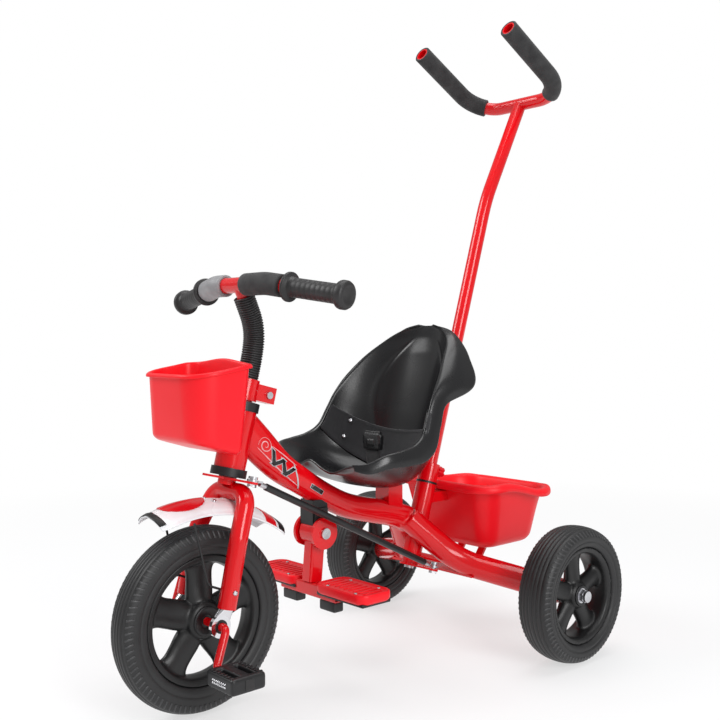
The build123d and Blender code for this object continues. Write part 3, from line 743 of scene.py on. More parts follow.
def makeRim(name, size, centre, body, node, outwardSide):
    axle, outward = Vector((1, 0, 0)), Vector((0, 1, 0))
    seat, depth, half = size["seat"], size["ringDepth"], size["ringHalf"]
    ring = [
        (-half, seat - 1), (-half + 2, seat - depth + 1), (-half + 7, seat - depth - 1.5), (0, seat - depth - 3),
        (half - 7, seat - depth - 1.5), (half - 2, seat - depth + 1), (half, seat - 1), (half - 2, seat - 0.3),
        (-half + 2, seat - 0.3),
    ]
    parts = [lathe("ring", ring, centre, axle, outward, 120, finish["rimPlastic"])]
    hub, hubHalf = size["hubRadius"], size["hubHalf"]
    hubProfile = [(-hubHalf, 0), (-hubHalf, hub - 6), (-hubHalf + 3, hub - 2), (-8, hub), (0, hub + 1.5),
                  (8, hub), (hubHalf - 3, hub - 2), (hubHalf, hub - 6), (hubHalf, 0)]
    parts.append(lathe("hub", hubProfile, centre, axle, outward, 60, finish["rimPlastic"], closed=False))
    for k in range(5):
        angle = 2 * math.pi * k / 5 + math.pi / 2
        radial = Vector((0, math.cos(angle), math.sin(angle)))
        around = axle.cross(radial)
        rows = []
        for distance, wide, thick in smoothTable(size["spoke"], 6):
            middle = centre + radial * (distance * mm)
            rows.append([
                middle + around * (math.cos(t) * wide * mm) + axle * (math.sin(t) * thick * mm)
                for t in (2 * math.pi * j / 24 for j in range(24))
            ])
        points, faces = rowsToMesh(rows)
        parts.append(tidyNormals(makePiece("spoke", points, faces, finish["rimPlastic"])))
    rim = fuse(name, parts, finish["rimPlastic"], size["voxel"], 7)
    fix(rim, body, "rim_plastic", node)
    cap = size["capRadius"]
    capProfile = [
        (hubHalf - 1.5, cap), (hubHalf + 1.0, cap), (hubHalf + 2.0, cap - 1.2), (hubHalf + 2.0, cap - 4.0),
        (hubHalf + 1.0, cap - 5.0), (hubHalf + 1.0, 8.6), (hubHalf - 1.5, 8.6),
    ]
    for side in ((-1, 1) if outwardSide == 0 else (outwardSide,)):
        profile = [(side * along, radius) for along, radius in capProfile]
        label = "Left" if side > 0 else "Right"
        hubCap = lathe(f"{name}Cap{label}", profile, centre, axle, outward, 64, finish["blackPlastic"])
        fix(hubCap, body, "rim_plastic")


def smoothTable(rows, steps):
    # a Catmull-Rom curve through rows of numbers
    out = []
    for i in range(len(rows) - 1):
        a, b, c, d = rows[max(i - 1, 0)], rows[i], rows[i + 1], rows[min(i + 2, len(rows) - 1)]
        for k in range(steps):
            t = k / steps
            out.append(tuple(
                0.5 * (2 * q + (r - p) * t + (2 * p - 5 * q + 4 * r - s) * t * t
                       + (3 * q - p - 3 * r + s) * t ** 3)
                for p, q, r, s in zip(a, b, c, d)
            ))
    out.append(tuple(rows[-1]))
    return out


makeTyre("frontTyre", wheels["front"], frontAxle, "front_wheel", "front_tyre")
makeRim("frontRim", wheels["front"], frontAxle, "front_wheel", "front_rim", 0)
for side, word in ((1, "left"), (-1, "right")):
    centre = middleOf(f"{word}_rear_tyre")
    makeTyre(f"{word}RearTyre", wheels["rear"], centre, f"{word}_rear_wheel", f"{word}_rear_tyre")
    makeRim(f"{word}RearRim", wheels["rear"], centre, f"{word}_rear_wheel", f"{word}_rear_rim", side)
print("stage 5: wheels made")


# the frame beam and its two stays, welded into one smooth form
beam = {
    "stations": [  # back, height, half height, half width
        (72, 380, 25.0, 15.0), (100, 350, 26.0, 15.5), (135, 317, 23.0, 16.0), (170, 294, 20.5, 16.5),
        (215, 267, 19.0, 17.0), (260, 245, 19.0, 18.0), (310, 231, 19.5, 18.5), (355, 220, 20.0, 19.0),
        (396, 205, 20.5, 19.0),
    ],
    "stayRadius": 19.7, "stayBend": 110, "voxel": 2.1, "relax": 6,
}


def makeBeam():
    rows = []
    table = smoothTable(beam["stations"], 5)
    for i, (y, z, tall, wide) in enumerate(table):
        before, after = table[max(i - 1, 0)], table[min(i + 1, len(table) - 1)]
        ahead = Vector((0, after[0] - before[0], after[1] - before[1])).normalized()
        up = Vector((1, 0, 0)).cross(ahead)
        rows.append([
            at(0, y, z) + Vector((math.cos(t) * wide * mm, 0, 0)) + up * (math.sin(t) * tall * mm)
            for t in (2 * math.pi * k / 40 for k in range(40))
        ])
    points, faces = rowsToMesh(rows)
    parts = [tidyNormals(makePiece("spine", points, faces, finish["redPaint"]))]
    for side in (-1, 1):
        path = roundedPath([at(side * 10, 384, 210), at(side * 58, 450, 138), at(side * 202, 531, 103)],
                           beam["stayBend"], 16)
        parts.append(tubePiece("stay", path, beam["stayRadius"] * mm, 40, finish["redPaint"]))
    piece = fuse("frameBeam", parts, finish["redPaint"], beam["voxel"], beam["relax"])
    return fix(piece, "frame", "red_paint", "main_spine", "left_stay", "right_stay")


frameBeam = makeBeam()
print("stage 6: frame beam made")


# seat shell

seat = {
    "stations": [  # back, height, half width, rise of the rim above the middle
        (192, 311, 92, 9), (207, 302, 108, 20), (240, 287, 120, 47), (285, 275, 124, 68), (335, 268, 122, 90),
        (375, 285, 117, 98), (398, 330, 113, 92), (411, 378, 108, 80), (422, 424, 100, 64), (432, 466, 86, 46),
        (438, 494, 68, 25), (440, 510, 45, 11), (441, 517, 14, 3),
    ],
    "wrap": [  # how far the rim stands out and how far it wraps back down the side, for each station
        (5, 7), (7, 13), (8, 18), (9, 23), (10, 28), (10, 29), (9, 25), (10, 26), (20, 62), (15, 44), (9, 22),
        (6, 10), (3, 4),
    ],
    "pivot": (200, 470), "wall": 3.2, "steps": 9, "across": 72,
    "pommel": 13.0, "groove": 1.5,
}
wrapTable = smoothTable(seat["wrap"], seat["steps"])
seatTable = smoothTable(seat["stations"], seat["steps"])


def mixRows(table, place):
    low, high = table[int(place)], table[int(place) + 1]
    return (p + (q - p) * (place % 1) for p, q in zip(low, high))


def seatPoint(t, u, inset=0.0):
    # t counts stations from the front edge, u runs -1 to 1 across; past 1 the rim curls outwards
    place = max(0.0, min(t * seat["steps"], len(seatTable) - 1.001))
    y, z, wide, rise = mixRows(seatTable, place)
    inward = Vector((0, seat["pivot"][0] - y, seat["pivot"][1] - z)).normalized()
    rise = max(rise, 2.0)
    radius = (wide * wide + rise * rise) / (2 * rise)
    reach = math.atan2(wide, radius - rise)
    angle = reach * max(-1.0, min(1.0, u))
    x, up = radius * math.sin(angle), radius - radius * math.cos(angle)
    x, up = x - inset * math.sin(angle), up + inset * math.cos(angle)
    extra = (abs(u) - 1) / 0.4
    if extra > 0:  # the rim rolls over and wraps back down the side
        out, down = mixRows(wrapTable, place)
        x += math.copysign(1, u) * (out * math.sin(min(1.0, extra * 1.6) * math.pi / 2) + 1.5 * extra)
        up += 2.2 * math.sin(min(1.0, extra * 2.6) * math.pi)
        up -= down * max(0.0, extra - 0.12) ** 1.15 / 0.86
    front = max(0.0, 1 - t / 3.2)
    up += seat["pommel"] * math.exp(-(u / 0.22) ** 2) * front * math.exp(-((t - 0.7) / 1.5) ** 2)
    up -= 7 * math.exp(-((abs(u) - 0.55) / 0.22) ** 2) * front ** 2
    back = max(0.0, min(1.0, (t - 5.4) / 1.2)) * max(0.0, min(1.0, (10.2 - t) / 1.0))
    crease = 0.30 + 0.30 * math.sin((t - 5.4) / 5.0 * math.pi)
    up -= seat["groove"] * math.exp(-((abs(u) - crease) / 0.035) ** 2) * back
    up += 2.2 * math.exp(-(u / 0.28) ** 2) * back
    return at(x, y, z) + inward * (up * mm)


def makeSeat():
    count = seat["across"]
    rolled = [1 + 0.4 * share for share in (0.06, 0.14, 0.24, 0.38, 0.56, 0.78, 0.95, 1.0)]
    columns = [-c for c in reversed(rolled)] + [-1 + 2 * k / count for k in range(count + 1)] + rolled
    last = len(seat["stations"]) - 1
    rows = []
    for i in range(last * seat["steps"] + 1):
        rows.append([seatPoint(i / seat["steps"], u) for u in columns])
    piece = makePiece("seatShell", *rowsToMesh(rows, closedRow=False), finish["seatPlastic"])
    tidyNormals(giveWall(piece, seat["wall"], outwardOffset(piece)))
    return fix(piece, "frame", "black_seat", "seat_shell")


def outwardOffset(piece):
    # the wall grows below the sitting surface whichever way the faces point
    middle = piece.data.polygons[len(piece.data.polygons) // 3]
    return -1.0 if middle.normal.z > 0 else 1.0


seatShell = makeSeat()
print("stage 7: seat made")


# baskets

baskets = {
    "front": {
        "low": (66, -41, 30, 32, 14), "high": (71, -46, 42, 40, 16), "floor": 346, "rim": 460,
        "lip": 4.5, "wall": 2.2, "frontRise": 22, "bottomRound": 9,
    },
    "rear": {
        "low": (80, 495, 625, 28, 36), "high": (102, 472, 644, 34, 48), "floor": 152, "rim": 258,
        "lip": 13.0, "wall": 2.4, "bottomRound": 14,
    },
}


def roundedOutline(corners, count):
    # corners go anticlockwise: x, y, radius and the angle at which the rounding starts
    row = []
    for x, y, radius, start in corners:
        middle = math.radians(start + 45)
        centreX = x - math.copysign(radius, math.cos(middle))
        centreY = y - math.copysign(radius, math.sin(middle))
        for k in range(count + 1):
            angle = math.radians(start + 90 * k / count)
            row.append((centreX + radius * math.cos(angle), centreY + radius * math.sin(angle)))
    return row


def outlineRow(size, grow, count=30):
    halfWidth, front, back, frontCorner, backCorner = size
    halfWidth, front, back = halfWidth + grow, front - grow, back + grow
    frontCorner, backCorner = max(2.0, frontCorner + grow), max(2.0, backCorner + grow)
    return fillStraights(roundedOutline((
        (halfWidth, front, frontCorner, -90), (halfWidth, back, backCorner, 0),
        (-halfWidth, back, backCorner, 90), (-halfWidth, front, frontCorner, 180),
    ), count))


def fillStraights(row, longest=6.0):
    out = []
    for (ax, ay), (bx, by) in zip(row, row[1:] + row[:1]):
        gap = math.hypot(bx - ax, by - ay)
        pieces = max(1, round(gap / longest))
        for k in range(pieces):
            out.append((ax + (bx - ax) * k / pieces, ay + (by - ay) * k / pieces))
    return out


def basketRow(size, share, grow, lift, bend):
    low, high = size["low"], size["high"]
    mixed = tuple(a + (b - a) * share for a, b in zip(low, high))
    wanted = len(outlineRow(high, 0))
    row = outlineRow(mixed, grow)
    row = resample(row, wanted)
    z = size["floor"] + (size["rim"] - size["floor"]) * share + lift
    return [at(x, y, z + bend(x, y, share)) for x, y in row]


def resample(row, wanted):
    closed = row + row[:1]
    lengths = [0.0]
    for (ax, ay), (bx, by) in zip(closed, closed[1:]):
        lengths.append(lengths[-1] + math.hypot(bx - ax, by - ay))
    out, k = [], 0
    for i in range(wanted):
        place = lengths[-1] * i / wanted
        while lengths[k + 1] < place:
            k += 1
        share = (place - lengths[k]) / max(1e-9, lengths[k + 1] - lengths[k])
        (ax, ay), (bx, by) = closed[k], closed[k + 1]
        out.append((ax + (bx - ax) * share, ay + (by - ay) * share))
    return out


def frontBasketBend(x, y, share):
    toFront = max(0.0, min(1.0, (30 - y) / 72))
    raised = baskets["front"]["frontRise"] * toFront * (1 - share) ** 1.6
    middle = math.exp(-(x / 46) ** 2) * max(0.0, min(1.0, (y - 10) / 30))
    return raised + (4.0 - 11.0 * toFront + 7.0 * middle) * share ** 3


def rearBasketBend(x, y, share):
    back = max(0.0, min(1.0, (y - 480) / 160))
    wave = -17.0 * back * back * (3 - 2 * back) + 3.0 * math.sin(back * math.pi * 2)
    corner = max(0.0, min(1.0, (abs(x) - 70) / 30)) * max(0.0, min(1.0, (y - 590) / 50))
    return (wave + 3.0 * corner) * share ** 4


def makeBasket(name, size, bend, body, node):
    rows = []
    turn = size["bottomRound"]
    for shrink in (0.0, 0.35, 0.7, 0.9):
        base = basketRow(size, 0.0, -turn, 0.0, bend)
        middle = sum(base, Vector()) / len(base)
        rows.append([middle.lerp(point, shrink) if shrink else middle.copy() for point in base])
    for k in range(1, 7):
        angle = math.pi / 2 * k / 6
        grow, lift = turn * (math.sin(angle) - 1), turn * (1 - math.cos(angle))
        rows.append(basketRow(size, lift / (size["rim"] - size["floor"]), grow, 0.0, bend))
    start = turn / (size["rim"] - size["floor"])
    for k in range(1, 15):
        rows.append(basketRow(size, start + (1 - start) * k / 14, 0.0, 0.0, bend))
    lip = size["lip"]
    for out, up in ((0.16, 0.10), (0.5, 0.16), (0.82, 0.02), (0.98, -0.28), (1.0, -0.62), (0.93, -0.78)):
        rows.append(basketRow(size, 1.0, lip * out, lip * up, bend))
    points, faces = rowsToMesh(rows, cap=False)
    piece = tidyNormals(makePiece(name, points, faces, finish["redBasket"]))
    if piece.data.polygons[len(piece.data.polygons) // 2].normal.dot(Vector((0, 0, 1))) > 0.9:
        piece.data.flip_normals()
    tidyNormals(giveWall(piece, size["wall"], 0.0))
    return fix(piece, body, "red_basket", node)


makeBasket("frontBasket", baskets["front"], frontBasketBend, "fork", "front_basket")
makeBasket("rearBasket", baskets["rear"], rearBasketBend, "frame", "rear_basket")
print("stage 8: baskets made")


# mudguard

guard = {
    "ends": ((-78, 272), (24, 283), (130, 238)), "halfWidth": 38, "drop": 16, "wall": 2.2,
    "panelMiddle": 0.24, "panelLength": 0.15, "panelHalf": 0.62, "tipTo": 0.045, "strip": (0.80, 0.90),
    "end": (0.925, 1.0),
}


def guardArc():
    (ay, az), (by, bz), (cy, cz) = guard["ends"]
    d = 2 * (ay * (bz - cz) + by * (cz - az) + cy * (az - bz))
    a2, b2, c2 = ay * ay + az * az, by * by + bz * bz, cy * cy + cz * cz
    y = (a2 * (bz - cz) + b2 * (cz - az) + c2 * (az - bz)) / d
    z = (a2 * (cy - by) + b2 * (ay - cy) + c2 * (by - ay)) / d
    return y, z, math.hypot(ay - y, az - z), math.atan2(az - z, ay - y), math.atan2(cz - z, cy - y)


guardY, guardZ, guardRadius, guardStart, guardEnd = guardArc()


def guardPoint(s, u, lift=0.0):
    angle = guardStart + (guardEnd - guardStart) * s
    reach = 2 * math.atan2(guard["drop"], guard["halfWidth"])
    bend = guard["halfWidth"] / math.sin(reach)
    endTaper = 1.0 - 0.16 * max(0.0, (0.10 - s) / 0.10) ** 2 - 0.10 * max(0.0, (s - 0.93) / 0.07) ** 2
    x = (bend + lift) * math.sin(reach * u) * endTaper
    down = bend - (bend + lift) * math.cos(reach * u)
    middleRib = 1.2 * math.exp(-(u / 0.10) ** 2)
    edge = -1.0 * math.exp(-((abs(u) - 0.86) / 0.05) ** 2)
    distance = guardRadius - down + middleRib + edge
    return at(x, guardY + math.cos(angle) * distance, guardZ + math.sin(angle) * distance)


def guardPatch(name, inside, lift, wall, slotName, stepsAlong, stepsAcross):
    points, index, faces = [], {}, []
    for i in range(stepsAlong + 1):
        for k in range(stepsAcross + 1):
            s, u = i / stepsAlong, -1 + 2 * k / stepsAcross
            index[i, k] = len(points)
            points.append(guardPoint(s, u, lift))
    for i in range(stepsAlong):
        for k in range(stepsAcross):
            s, u = (i + 0.5) / stepsAlong, -1 + 2 * (k + 0.5) / stepsAcross
            if inside(s, u):
                faces.append((index[i, k], index[i + 1, k], index[i + 1, k + 1], index[i, k + 1]))
    piece = makePiece(name, points, faces, finish[slotFinish[slotName]])
    work = bmesh.new()
    work.from_mesh(piece.data)
    bmesh.ops.delete(work, geom=[v for v in work.verts if not v.link_faces], context="VERTS")
    bmesh.ops.recalc_face_normals(work, faces=work.faces)
    work.to_mesh(piece.data)
    work.free()
    up = sum(face.normal.z for face in piece.data.polygons)
    return tidyNormals(giveWall(piece, wall, -1.0 if up > 0 else 1.0))


def onPanel(s, u):
    along = (s - guard["panelMiddle"]) / guard["panelLength"]
    return along * along + (u / guard["panelHalf"]) ** 2 < 1


def makeGuard():
    patches = (  # name, where it lies, lift, wall, slot, steps along and across
        ("mudguard", lambda s, u: True, 0.0, guard["wall"], "white_plastic", 90, 44),
        ("guardPanel", onPanel, 1.3, 1.6, "red_trim", 200, 90),
        ("guardTip", lambda s, u: s < guard["tipTo"] and abs(u) < 0.8, 0.9, 1.0, "black_plastic", 90, 44),
        ("guardStrip", lambda s, u: onStrip(s, u, *guard["strip"]), 0.7, 1.2, "red_trim", 90, 44),
        ("guardEnd", lambda s, u: onStrip(s, u, *guard["end"]), 0.7, 1.2, "black_plastic", 90, 44),
    )
    for name, inside, lift, wall, slotName, along, across in patches:
        patch = guardPatch(name, inside, lift, wall, slotName, along, across)
        fix(patch, "fork", slotName, *(["mudguard"] if name == "mudguard" else []))


def onStrip(s, u, low, high):
    return low < s < high and abs(u) < 0.97


makeGuard()
print("stage 9: mudguard made")


# handlebar grips, foam sleeves and the ribbed stem sleeve

barEnds = [at(-186, 100, 554), at(-58, 72, 573), at(58, 72, 573), at(186, 100, 554)]
bar = {
    "gripFrom": 97, "gripLength": 92, "gripRadius": 13.0, "flange": 20.0, "cap": 19.0, "tube": 11.0,
    "foam": 15.5, "foamSpans": ((12, 92), (-94, -33)), "ringSpacing": 3.3,
}


def makeGrip(side, word):
    outer, inner = (barEnds[3], barEnds[2]) if side > 0 else (barEnds[0], barEnds[1])
    along = (outer - inner).normalized()
    start = inner + along * ((bar["gripFrom"] - 58) * mm / abs(along.x))
    length, body, flange, cap = bar["gripLength"], bar["gripRadius"], bar["flange"], bar["cap"]
    profile = [
        (0, bar["tube"]), (0, flange - 1.5), (1.2, flange), (3.8, flange), (5.0, flange - 1.4),
        (5.8, body + 2.0), (8.0, body + 0.4),
    ]
    for k in range(9):  # shallow finger waves
        place = 14 + k * 8.2
        profile += [(place - 1.2, body + 0.15), (place, body - 0.3), (place + 1.2, body + 0.15)]
    profile += [
        (length - 7, body + 0.6), (length - 5.4, cap - 2.5), (length - 4.6, cap - 0.6), (length - 2.5, cap),
        (length + 3, cap - 0.2), (length + 5.6, cap - 1.6), (length + 6.8, cap - 4.5),
        (length + 7, cap - 8.5), (length + 6.4, cap - 9.0), (length + 6.4, 0),
    ]
    sideways = along.cross(Vector((0, 0, 1))).normalized()
    rows = lathe(f"{word}Grip", profile, start, along, sideways, 56, finish["gripRubber"], closed=False)
    return fix(rows, "fork", "black_rubber", *(["handlebar_grips"] if side > 0 else []))


def makeFoams():
    path = roundedPath(barEnds, 60, 12, 0.004)
    for number, (low, high) in enumerate(bar["foamSpans"]):
        run = [point for point in path if low * mm <= point.x <= high * mm]
        # the second sleeve takes the lighter foam finish: painted highlight for strong light on it
        cover = finish["blackFoam"] if number == 0 else finish["paintedHighlightFoam"]
        foam = pipePiece(f"barFoam{number + 1}", run, bar["foam"] * mm, 11.05 * mm, 48, cover, 0.0012)
        fix(foam, "fork", "black_foam", *(["handlebar_sleeves"] if number == 0 else []))


def torusPart(radius, thick, around=44, sides=8):
    rows = []
    for i in range(around):
        a = 2 * math.pi * i / around
        middle = Vector((math.cos(a), math.sin(a), 0))
        rows.append([
            middle * ((radius + math.cos(b) * thick) * mm) + Vector((0, 0, math.sin(b) * thick * mm))
            for b in (2 * math.pi * k / sides for k in range(sides))
        ])
    return tidyNormals(makePiece("part", *rowsToMesh(rows, closedEnds=True), finish["blackPlastic"]))


def makeStemSleeve():
    top = at(0, 72, 571)
    back = (at(0, 97, 512) - top).normalized()
    corners = [onAxis(headAxis, 0, 0, 128), onAxis(headAxis, 0, 0, 158), at(0, 97, 512), top + back * 16 * mm]
    path = roundedPath(corners, [70, 80], 12, 0.004)
    core = pipePiece("stemSleeve", path, 13.4 * mm, 10.0 * mm, 44, finish["gripRubber"])
    fix(core, "fork", "black_rubber", "stem_sleeve")
    curve = pathCurve(path)
    part = torusPart(13.6, 1.5)
    ribs = growCopies("stemSleeveRibs", pathTree, {
        "Path": curve, "Spacing": bar["ringSpacing"] * mm, "Part": part, "Material": finish["gripRubber"],
    })
    dropParts(curve, part)
    fix(ribs, "fork", "black_rubber")


def makePushFoams():
    corners = [at(96.7, 530, 994), at(96.7, 681, 912), at(-96.7, 681, 912), at(-96.7, 530, 994)]
    path = roundedPath(corners, 55, 16, 0.005)
    for side, word in ((1, "left"), (-1, "right")):
        run = [point for point in path if side * point.x >= 69.9 * mm]
        foam = pipePiece(f"{word}PushFoam", run, 15 * mm, 11.05 * mm, 48, finish["blackFoam"], 0.001)
        fix(foam, "push_handle", "black_foam", *(["push_grips"] if side > 0 else []))


for side, word in ((1, "left"), (-1, "right")):
    makeGrip(side, word)
makeFoams()
makeStemSleeve()
makePushFoams()
print("stage 10: grips and sleeves made")


# belt

belt = {
    "from": 4.95, "to": 6.35, "lift": 2.6, "wall": 1.6, "strapHalf": 16, "stitchGap": 3.4,
    "flapOut": 10, "flapDrop": 52, "flapCurl": 2.2, "strapBack": 324, "strapFoot": 271, "strapLength": 60,
}


def strapPiece(name, rows, body, *nodes):
    # rows of points across the strap; the UV runs with the weave
    count = len(rows[0])
    piece = makePiece(name, *rowsToMesh(rows, closedRow=False), finish["webbing"])
    layer = piece.data.uv_layers.new(name="weave")
    for face in piece.data.polygons:
        for loop, vert in zip(face.loop_indices, face.vertices):
            layer.data[loop].uv = (vert // count * 0.055, vert % count / (count - 1))
    giveWall(piece, belt["wall"], 0.0)
    return fix(piece, body, "black_fabric", *nodes)


def stitchPart():
    part = boxPart((2.1, 0.7, 0.55))
    for vert in part.data.vertices:  # lie along the path, which is local Z
        x, y, z = vert.co
        vert.co = (z, y, x)
    return tidyNormals(part)


def addStitches(name, edges, body):
    part = stitchPart()
    for number, edge in enumerate(edges):
        curve = pathCurve(edge)
        row = growCopies(f"{name}{number + 1}", pathTree, {
            "Path": curve, "Spacing": belt["stitchGap"] * mm, "Part": part, "Material": finish["gripRubber"],
        })
        dropParts(curve)
        fix(row, body, "black_fabric")
    dropParts(part)


def beltPoint(share, u):
    sway = 0.10 * math.sin(u * 2.2)
    sag = belt["lift"] + 1.4 * math.cos(u * 5.0) * (1 - abs(share - 0.5))
    return seatPoint(belt["from"] + (belt["to"] - belt["from"]) * share + sway, u, sag)


def strapPoint(x, t, foot, length, lift=0.0):
    back = belt["strapBack"] - 5 * math.sin(t * math.pi / 2) + math.sin(t * 6) + lift
    return at(x, back, foot + length * t)


def makeBelt():
    rows = [[beltPoint(k / 8, -0.985 + 1.97 * i / 70) for k in range(9)] for i in range(71)]
    strapPiece("waistBelt", rows, "frame", "waist_belt")
    edges = [[beltPoint(share, -0.96 + 1.92 * i / 60) for i in range(61)] for share in (0.07, 0.93)]
    middle = seatPoint(5.6, 0, 60)
    lifted = [[p + (middle - p).normalized() * 1.1 * mm for p in edge] for edge in edges]
    addStitches("waistStitch", lifted, "frame")
    flap = []
    for i in range(16):  # the loose end that hangs over the rim on the rider's left
        t = i / 15
        row = []
        for k in range(7):
            share = 0.18 + 0.62 * k / 6
            top = beltPoint(share, 0.985)
            turn = min(1.0, t * 3.2) * math.pi
            over = Vector((1, 0, 0)) * (math.sin(turn / 2) * belt["flapOut"] * mm)
            drop = Vector((0, -0.10, -1)) * (max(0.0, t - 0.16) * belt["flapDrop"] * mm)
            rise = Vector((0, 0, math.sin(turn) * 5 * mm))
            curl = Vector((1, 0, 0)) * (math.sin(t * 5.0 + k * 0.25) * belt["flapCurl"] * mm * t)
            row.append(top + over + drop + rise + curl)
        flap.append(row)
    strapPiece("beltFlap", flap, "frame")
    half, foot, length = belt["strapHalf"], belt["strapFoot"], belt["strapLength"]
    places = [-half + 2 * half * k / 6 for k in range(7)]
    strap = [[strapPoint(x, i / 20, foot, length) for x in places] for i in range(21)]
    strapPiece("crotchStrap", strap, "frame", "crotch_strap")
    addStitches("crotchStitch", [
        [strapPoint(x, i / 20, foot + 4, length - 10, -2.8) for i in range(21)] for x in (-13.2, 13.2)
    ], "frame")


buckle = {
    "centre": (0, 319, 337), "voxel": 0.8,
    "blocks": (  # offset, size and rounding
        ((0, 0, 0), (36, 11, 26), 3.2), ((17, 0, 3), (7, 8.5, 16), 2.6), ((-17, 0, 3), (7, 8.5, 16), 2.6),
        ((0, 0, 14), (34, 7, 6), 2.0), ((0, -5.2, -1), (16, 3, 9), 1.2),
    ),
}


def makeBuckle():
    centre = at(*buckle["centre"])
    look = finish["buckleBlack"]
    parts = [roundBox("block", centre + Vector(offset) * mm, size, rounding, look)
             for offset, size, rounding in buckle["blocks"]]
    fix(fuse("beltBuckle", parts, look, buckle["voxel"], 3), "frame", "buckle_plastic", "belt_buckle")


makeBelt()
makeBuckle()
print("stage 11: belt made")


# pedals and footrest

pedalSize = {
    "width": 58, "length": 52, "height": 22, "voxel": 1.1, "rail": 11, "middleBridge": 15, "endBridge": 10,
    "tread": (3.0, 7.0, 1.3), "treadGap": 7.2, "prism": 3.7, "prismTall": 1.5, "prismGap": 3.8,
    "cap": (2.2, 13, 13),
}


def makePedal(side, word):
    low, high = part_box(f"{word}_pedal")
    centre = (low + high) / 2
    across, along, tall = pedalSize["width"], pedalSize["length"], pedalSize["height"]
    inX, inY = (across - pedalSize["rail"]) / 2, (along - pedalSize["rail"]) / 2
    rubber = finish["blackPlastic"]

    def spot(x, y, z=0.0):
        return centre + Vector((x, y, z)) * mm

    rail = (pedalSize["rail"], along - 1, tall - 1)
    parts = [roundBox("rail", spot(x, 0), rail, 5, rubber) for x in (-inX, inX)]
    for y, wide in ((-inY, "endBridge"), (0, "middleBridge"), (inY, "endBridge")):
        parts.append(roundBox("bridge", spot(0, y), (across - 6, pedalSize[wide], tall - 2), 3.5, rubber))
    body = fuse(f"{word}Pedal", parts, rubber, pedalSize["voxel"], 3)
    fix(body, f"{word}_pedal", "black_plastic", f"{word}_pedal")
    treadSpots = [
        (spot((k - 3) * pedalSize["treadGap"], y, level * (tall / 2 - 1.25)), Vector((0, 0, level)))
        for level in (-1, 1) for y in (-inY, inY) for k in range(7)
    ]
    gap = pedalSize["prismGap"]
    prismSpots = [
        (spot((k - 3.5) * gap, face * (along / 2 - 0.7), (row - 0.5) * gap), Vector((0, face, 0)))
        for face in (-1, 1) for row in range(2) for k in range(8)
    ]
    for name, part, spots, look, slotName in (
        ("Treads", boxPart(pedalSize["tread"]), treadSpots, rubber, "black_plastic"),
        ("Reflectors", prismPart(), prismSpots, finish["chrome"], "chrome_steel"),
    ):
        copies = onSpots(f"{word}Pedal{name}", spots, part, 1.0, look)
        dropParts(part)
        fix(copies, f"{word}_pedal", slotName)
    capSpot = spot(side * (across / 2 - 0.2), 0)
    cap = roundBox(f"{word}PedalCap", capSpot, pedalSize["cap"], 1.0, finish["gripRubber"])
    fix(cap, f"{word}_pedal", "black_plastic")


def prismPart():
    half = pedalSize["prism"] / 2 * mm
    ring = [Vector((x * half, y * half, 0)) for x, y in ((-1, -1), (1, -1), (1, 1), (-1, 1))]
    tip = Vector((0, 0, pedalSize["prismTall"] * mm))
    faces = [(3, 2, 1, 0), (0, 1, 4), (1, 2, 4), (2, 3, 4), (3, 0, 4)]
    return makePiece("part", ring + [tip], faces, finish["chrome"], smooth=False)


footPad = {
    "width": 108, "length": 62, "low": 128, "high": 145, "middleX": 76, "middleY": 209, "corner": 17,
    "rib": (3.2, 34, 1.2), "ribGap": 10, "baseTall": 5.4, "blockX": 43, "blockZ": 113.5,
    "block": (34, 18, 15),
}


def padOutline(grow, corner, count=10):
    halfX, halfY = footPad["width"] / 2 + grow, footPad["length"] / 2 + grow
    spots = ((halfX, -halfY, -90), (halfX, halfY, 0), (-halfX, halfY, 90), (-halfX, -halfY, 180))
    return roundedOutline([(x, y, corner, start) for x, y, start in spots], count)


def makeFootPad(side, word):
    low, high = footPad["low"] + 5, footPad["high"]
    corner, middleX, middleY = footPad["corner"], side * footPad["middleX"], footPad["middleY"]
    steps = [  # grow, height: up the outer wall, over the raised edge, down to the tread
        (-9, low - 2.5), (-3.4, low - 2.2), (-1.2, low - 0.4), (0, low + 2), (0, high - 2.6), (-0.6, high - 0.9),
        (-1.8, high), (-3.2, high - 0.1), (-4.2, high - 1.0), (-5.2, high - 1.5), (-6.5, high - 1.6),
    ]
    count = len(padOutline(0, corner))
    rows = [[at(middleX, middleY, low - 2.5)] * count]
    for grow, z in steps:
        rows.append([at(middleX + x, middleY + y, z) for x, y in padOutline(grow, max(3, corner + grow))])
    rows.append([at(middleX, middleY, high - 1.6)] * count)
    faces = rowsToMesh(rows, cap=False)
    pad = tidyNormals(makePiece(f"{word}FootPad", *faces, finish["redBasket"]))
    fix(pad, "footrest", "red_trim", *(["footrest_pads"] if side > 0 else []))
    part = boxPart(footPad["rib"])
    places = [middleX + (k - 4) * footPad["ribGap"] for k in range(9)]
    spots = [(at(x, middleY, high - 1.7), Vector((0, 0, 1))) for x in places]
    ribs = onSpots(f"{word}FootPadRibs", spots, part, 1.0, finish["redBasket"])
    dropParts(part)
    fix(ribs, "footrest", "red_trim")
    size = (footPad["width"] - 8, footPad["length"] - 8, footPad["baseTall"])
    baseSpot = at(middleX, middleY, footPad["low"] + 2.2)
    base = roundBox(f"{word}FootPadBase", baseSpot, size, 2.2, finish["blackPlastic"])
    fix(base, "footrest", "black_plastic")
    blockY = (middleOf("footrest_rubbers").y - frontAxle.y) / mm
    block = at(side * footPad["blockX"], blockY, footPad["blockZ"])
    rubber = roundBox(f"{word}FootBlock", block, footPad["block"], 3.0, finish["gripRubber"])
    fix(rubber, "footrest", "black_rubber", *(["footrest_rubbers"] if side > 0 else []))


for side, word in ((1, "left"), (-1, "right")):
    makePedal(side, word)
    makeFootPad(side, word)
print("stage 12: pedals and footrest made")


# decals on both sides of the beam

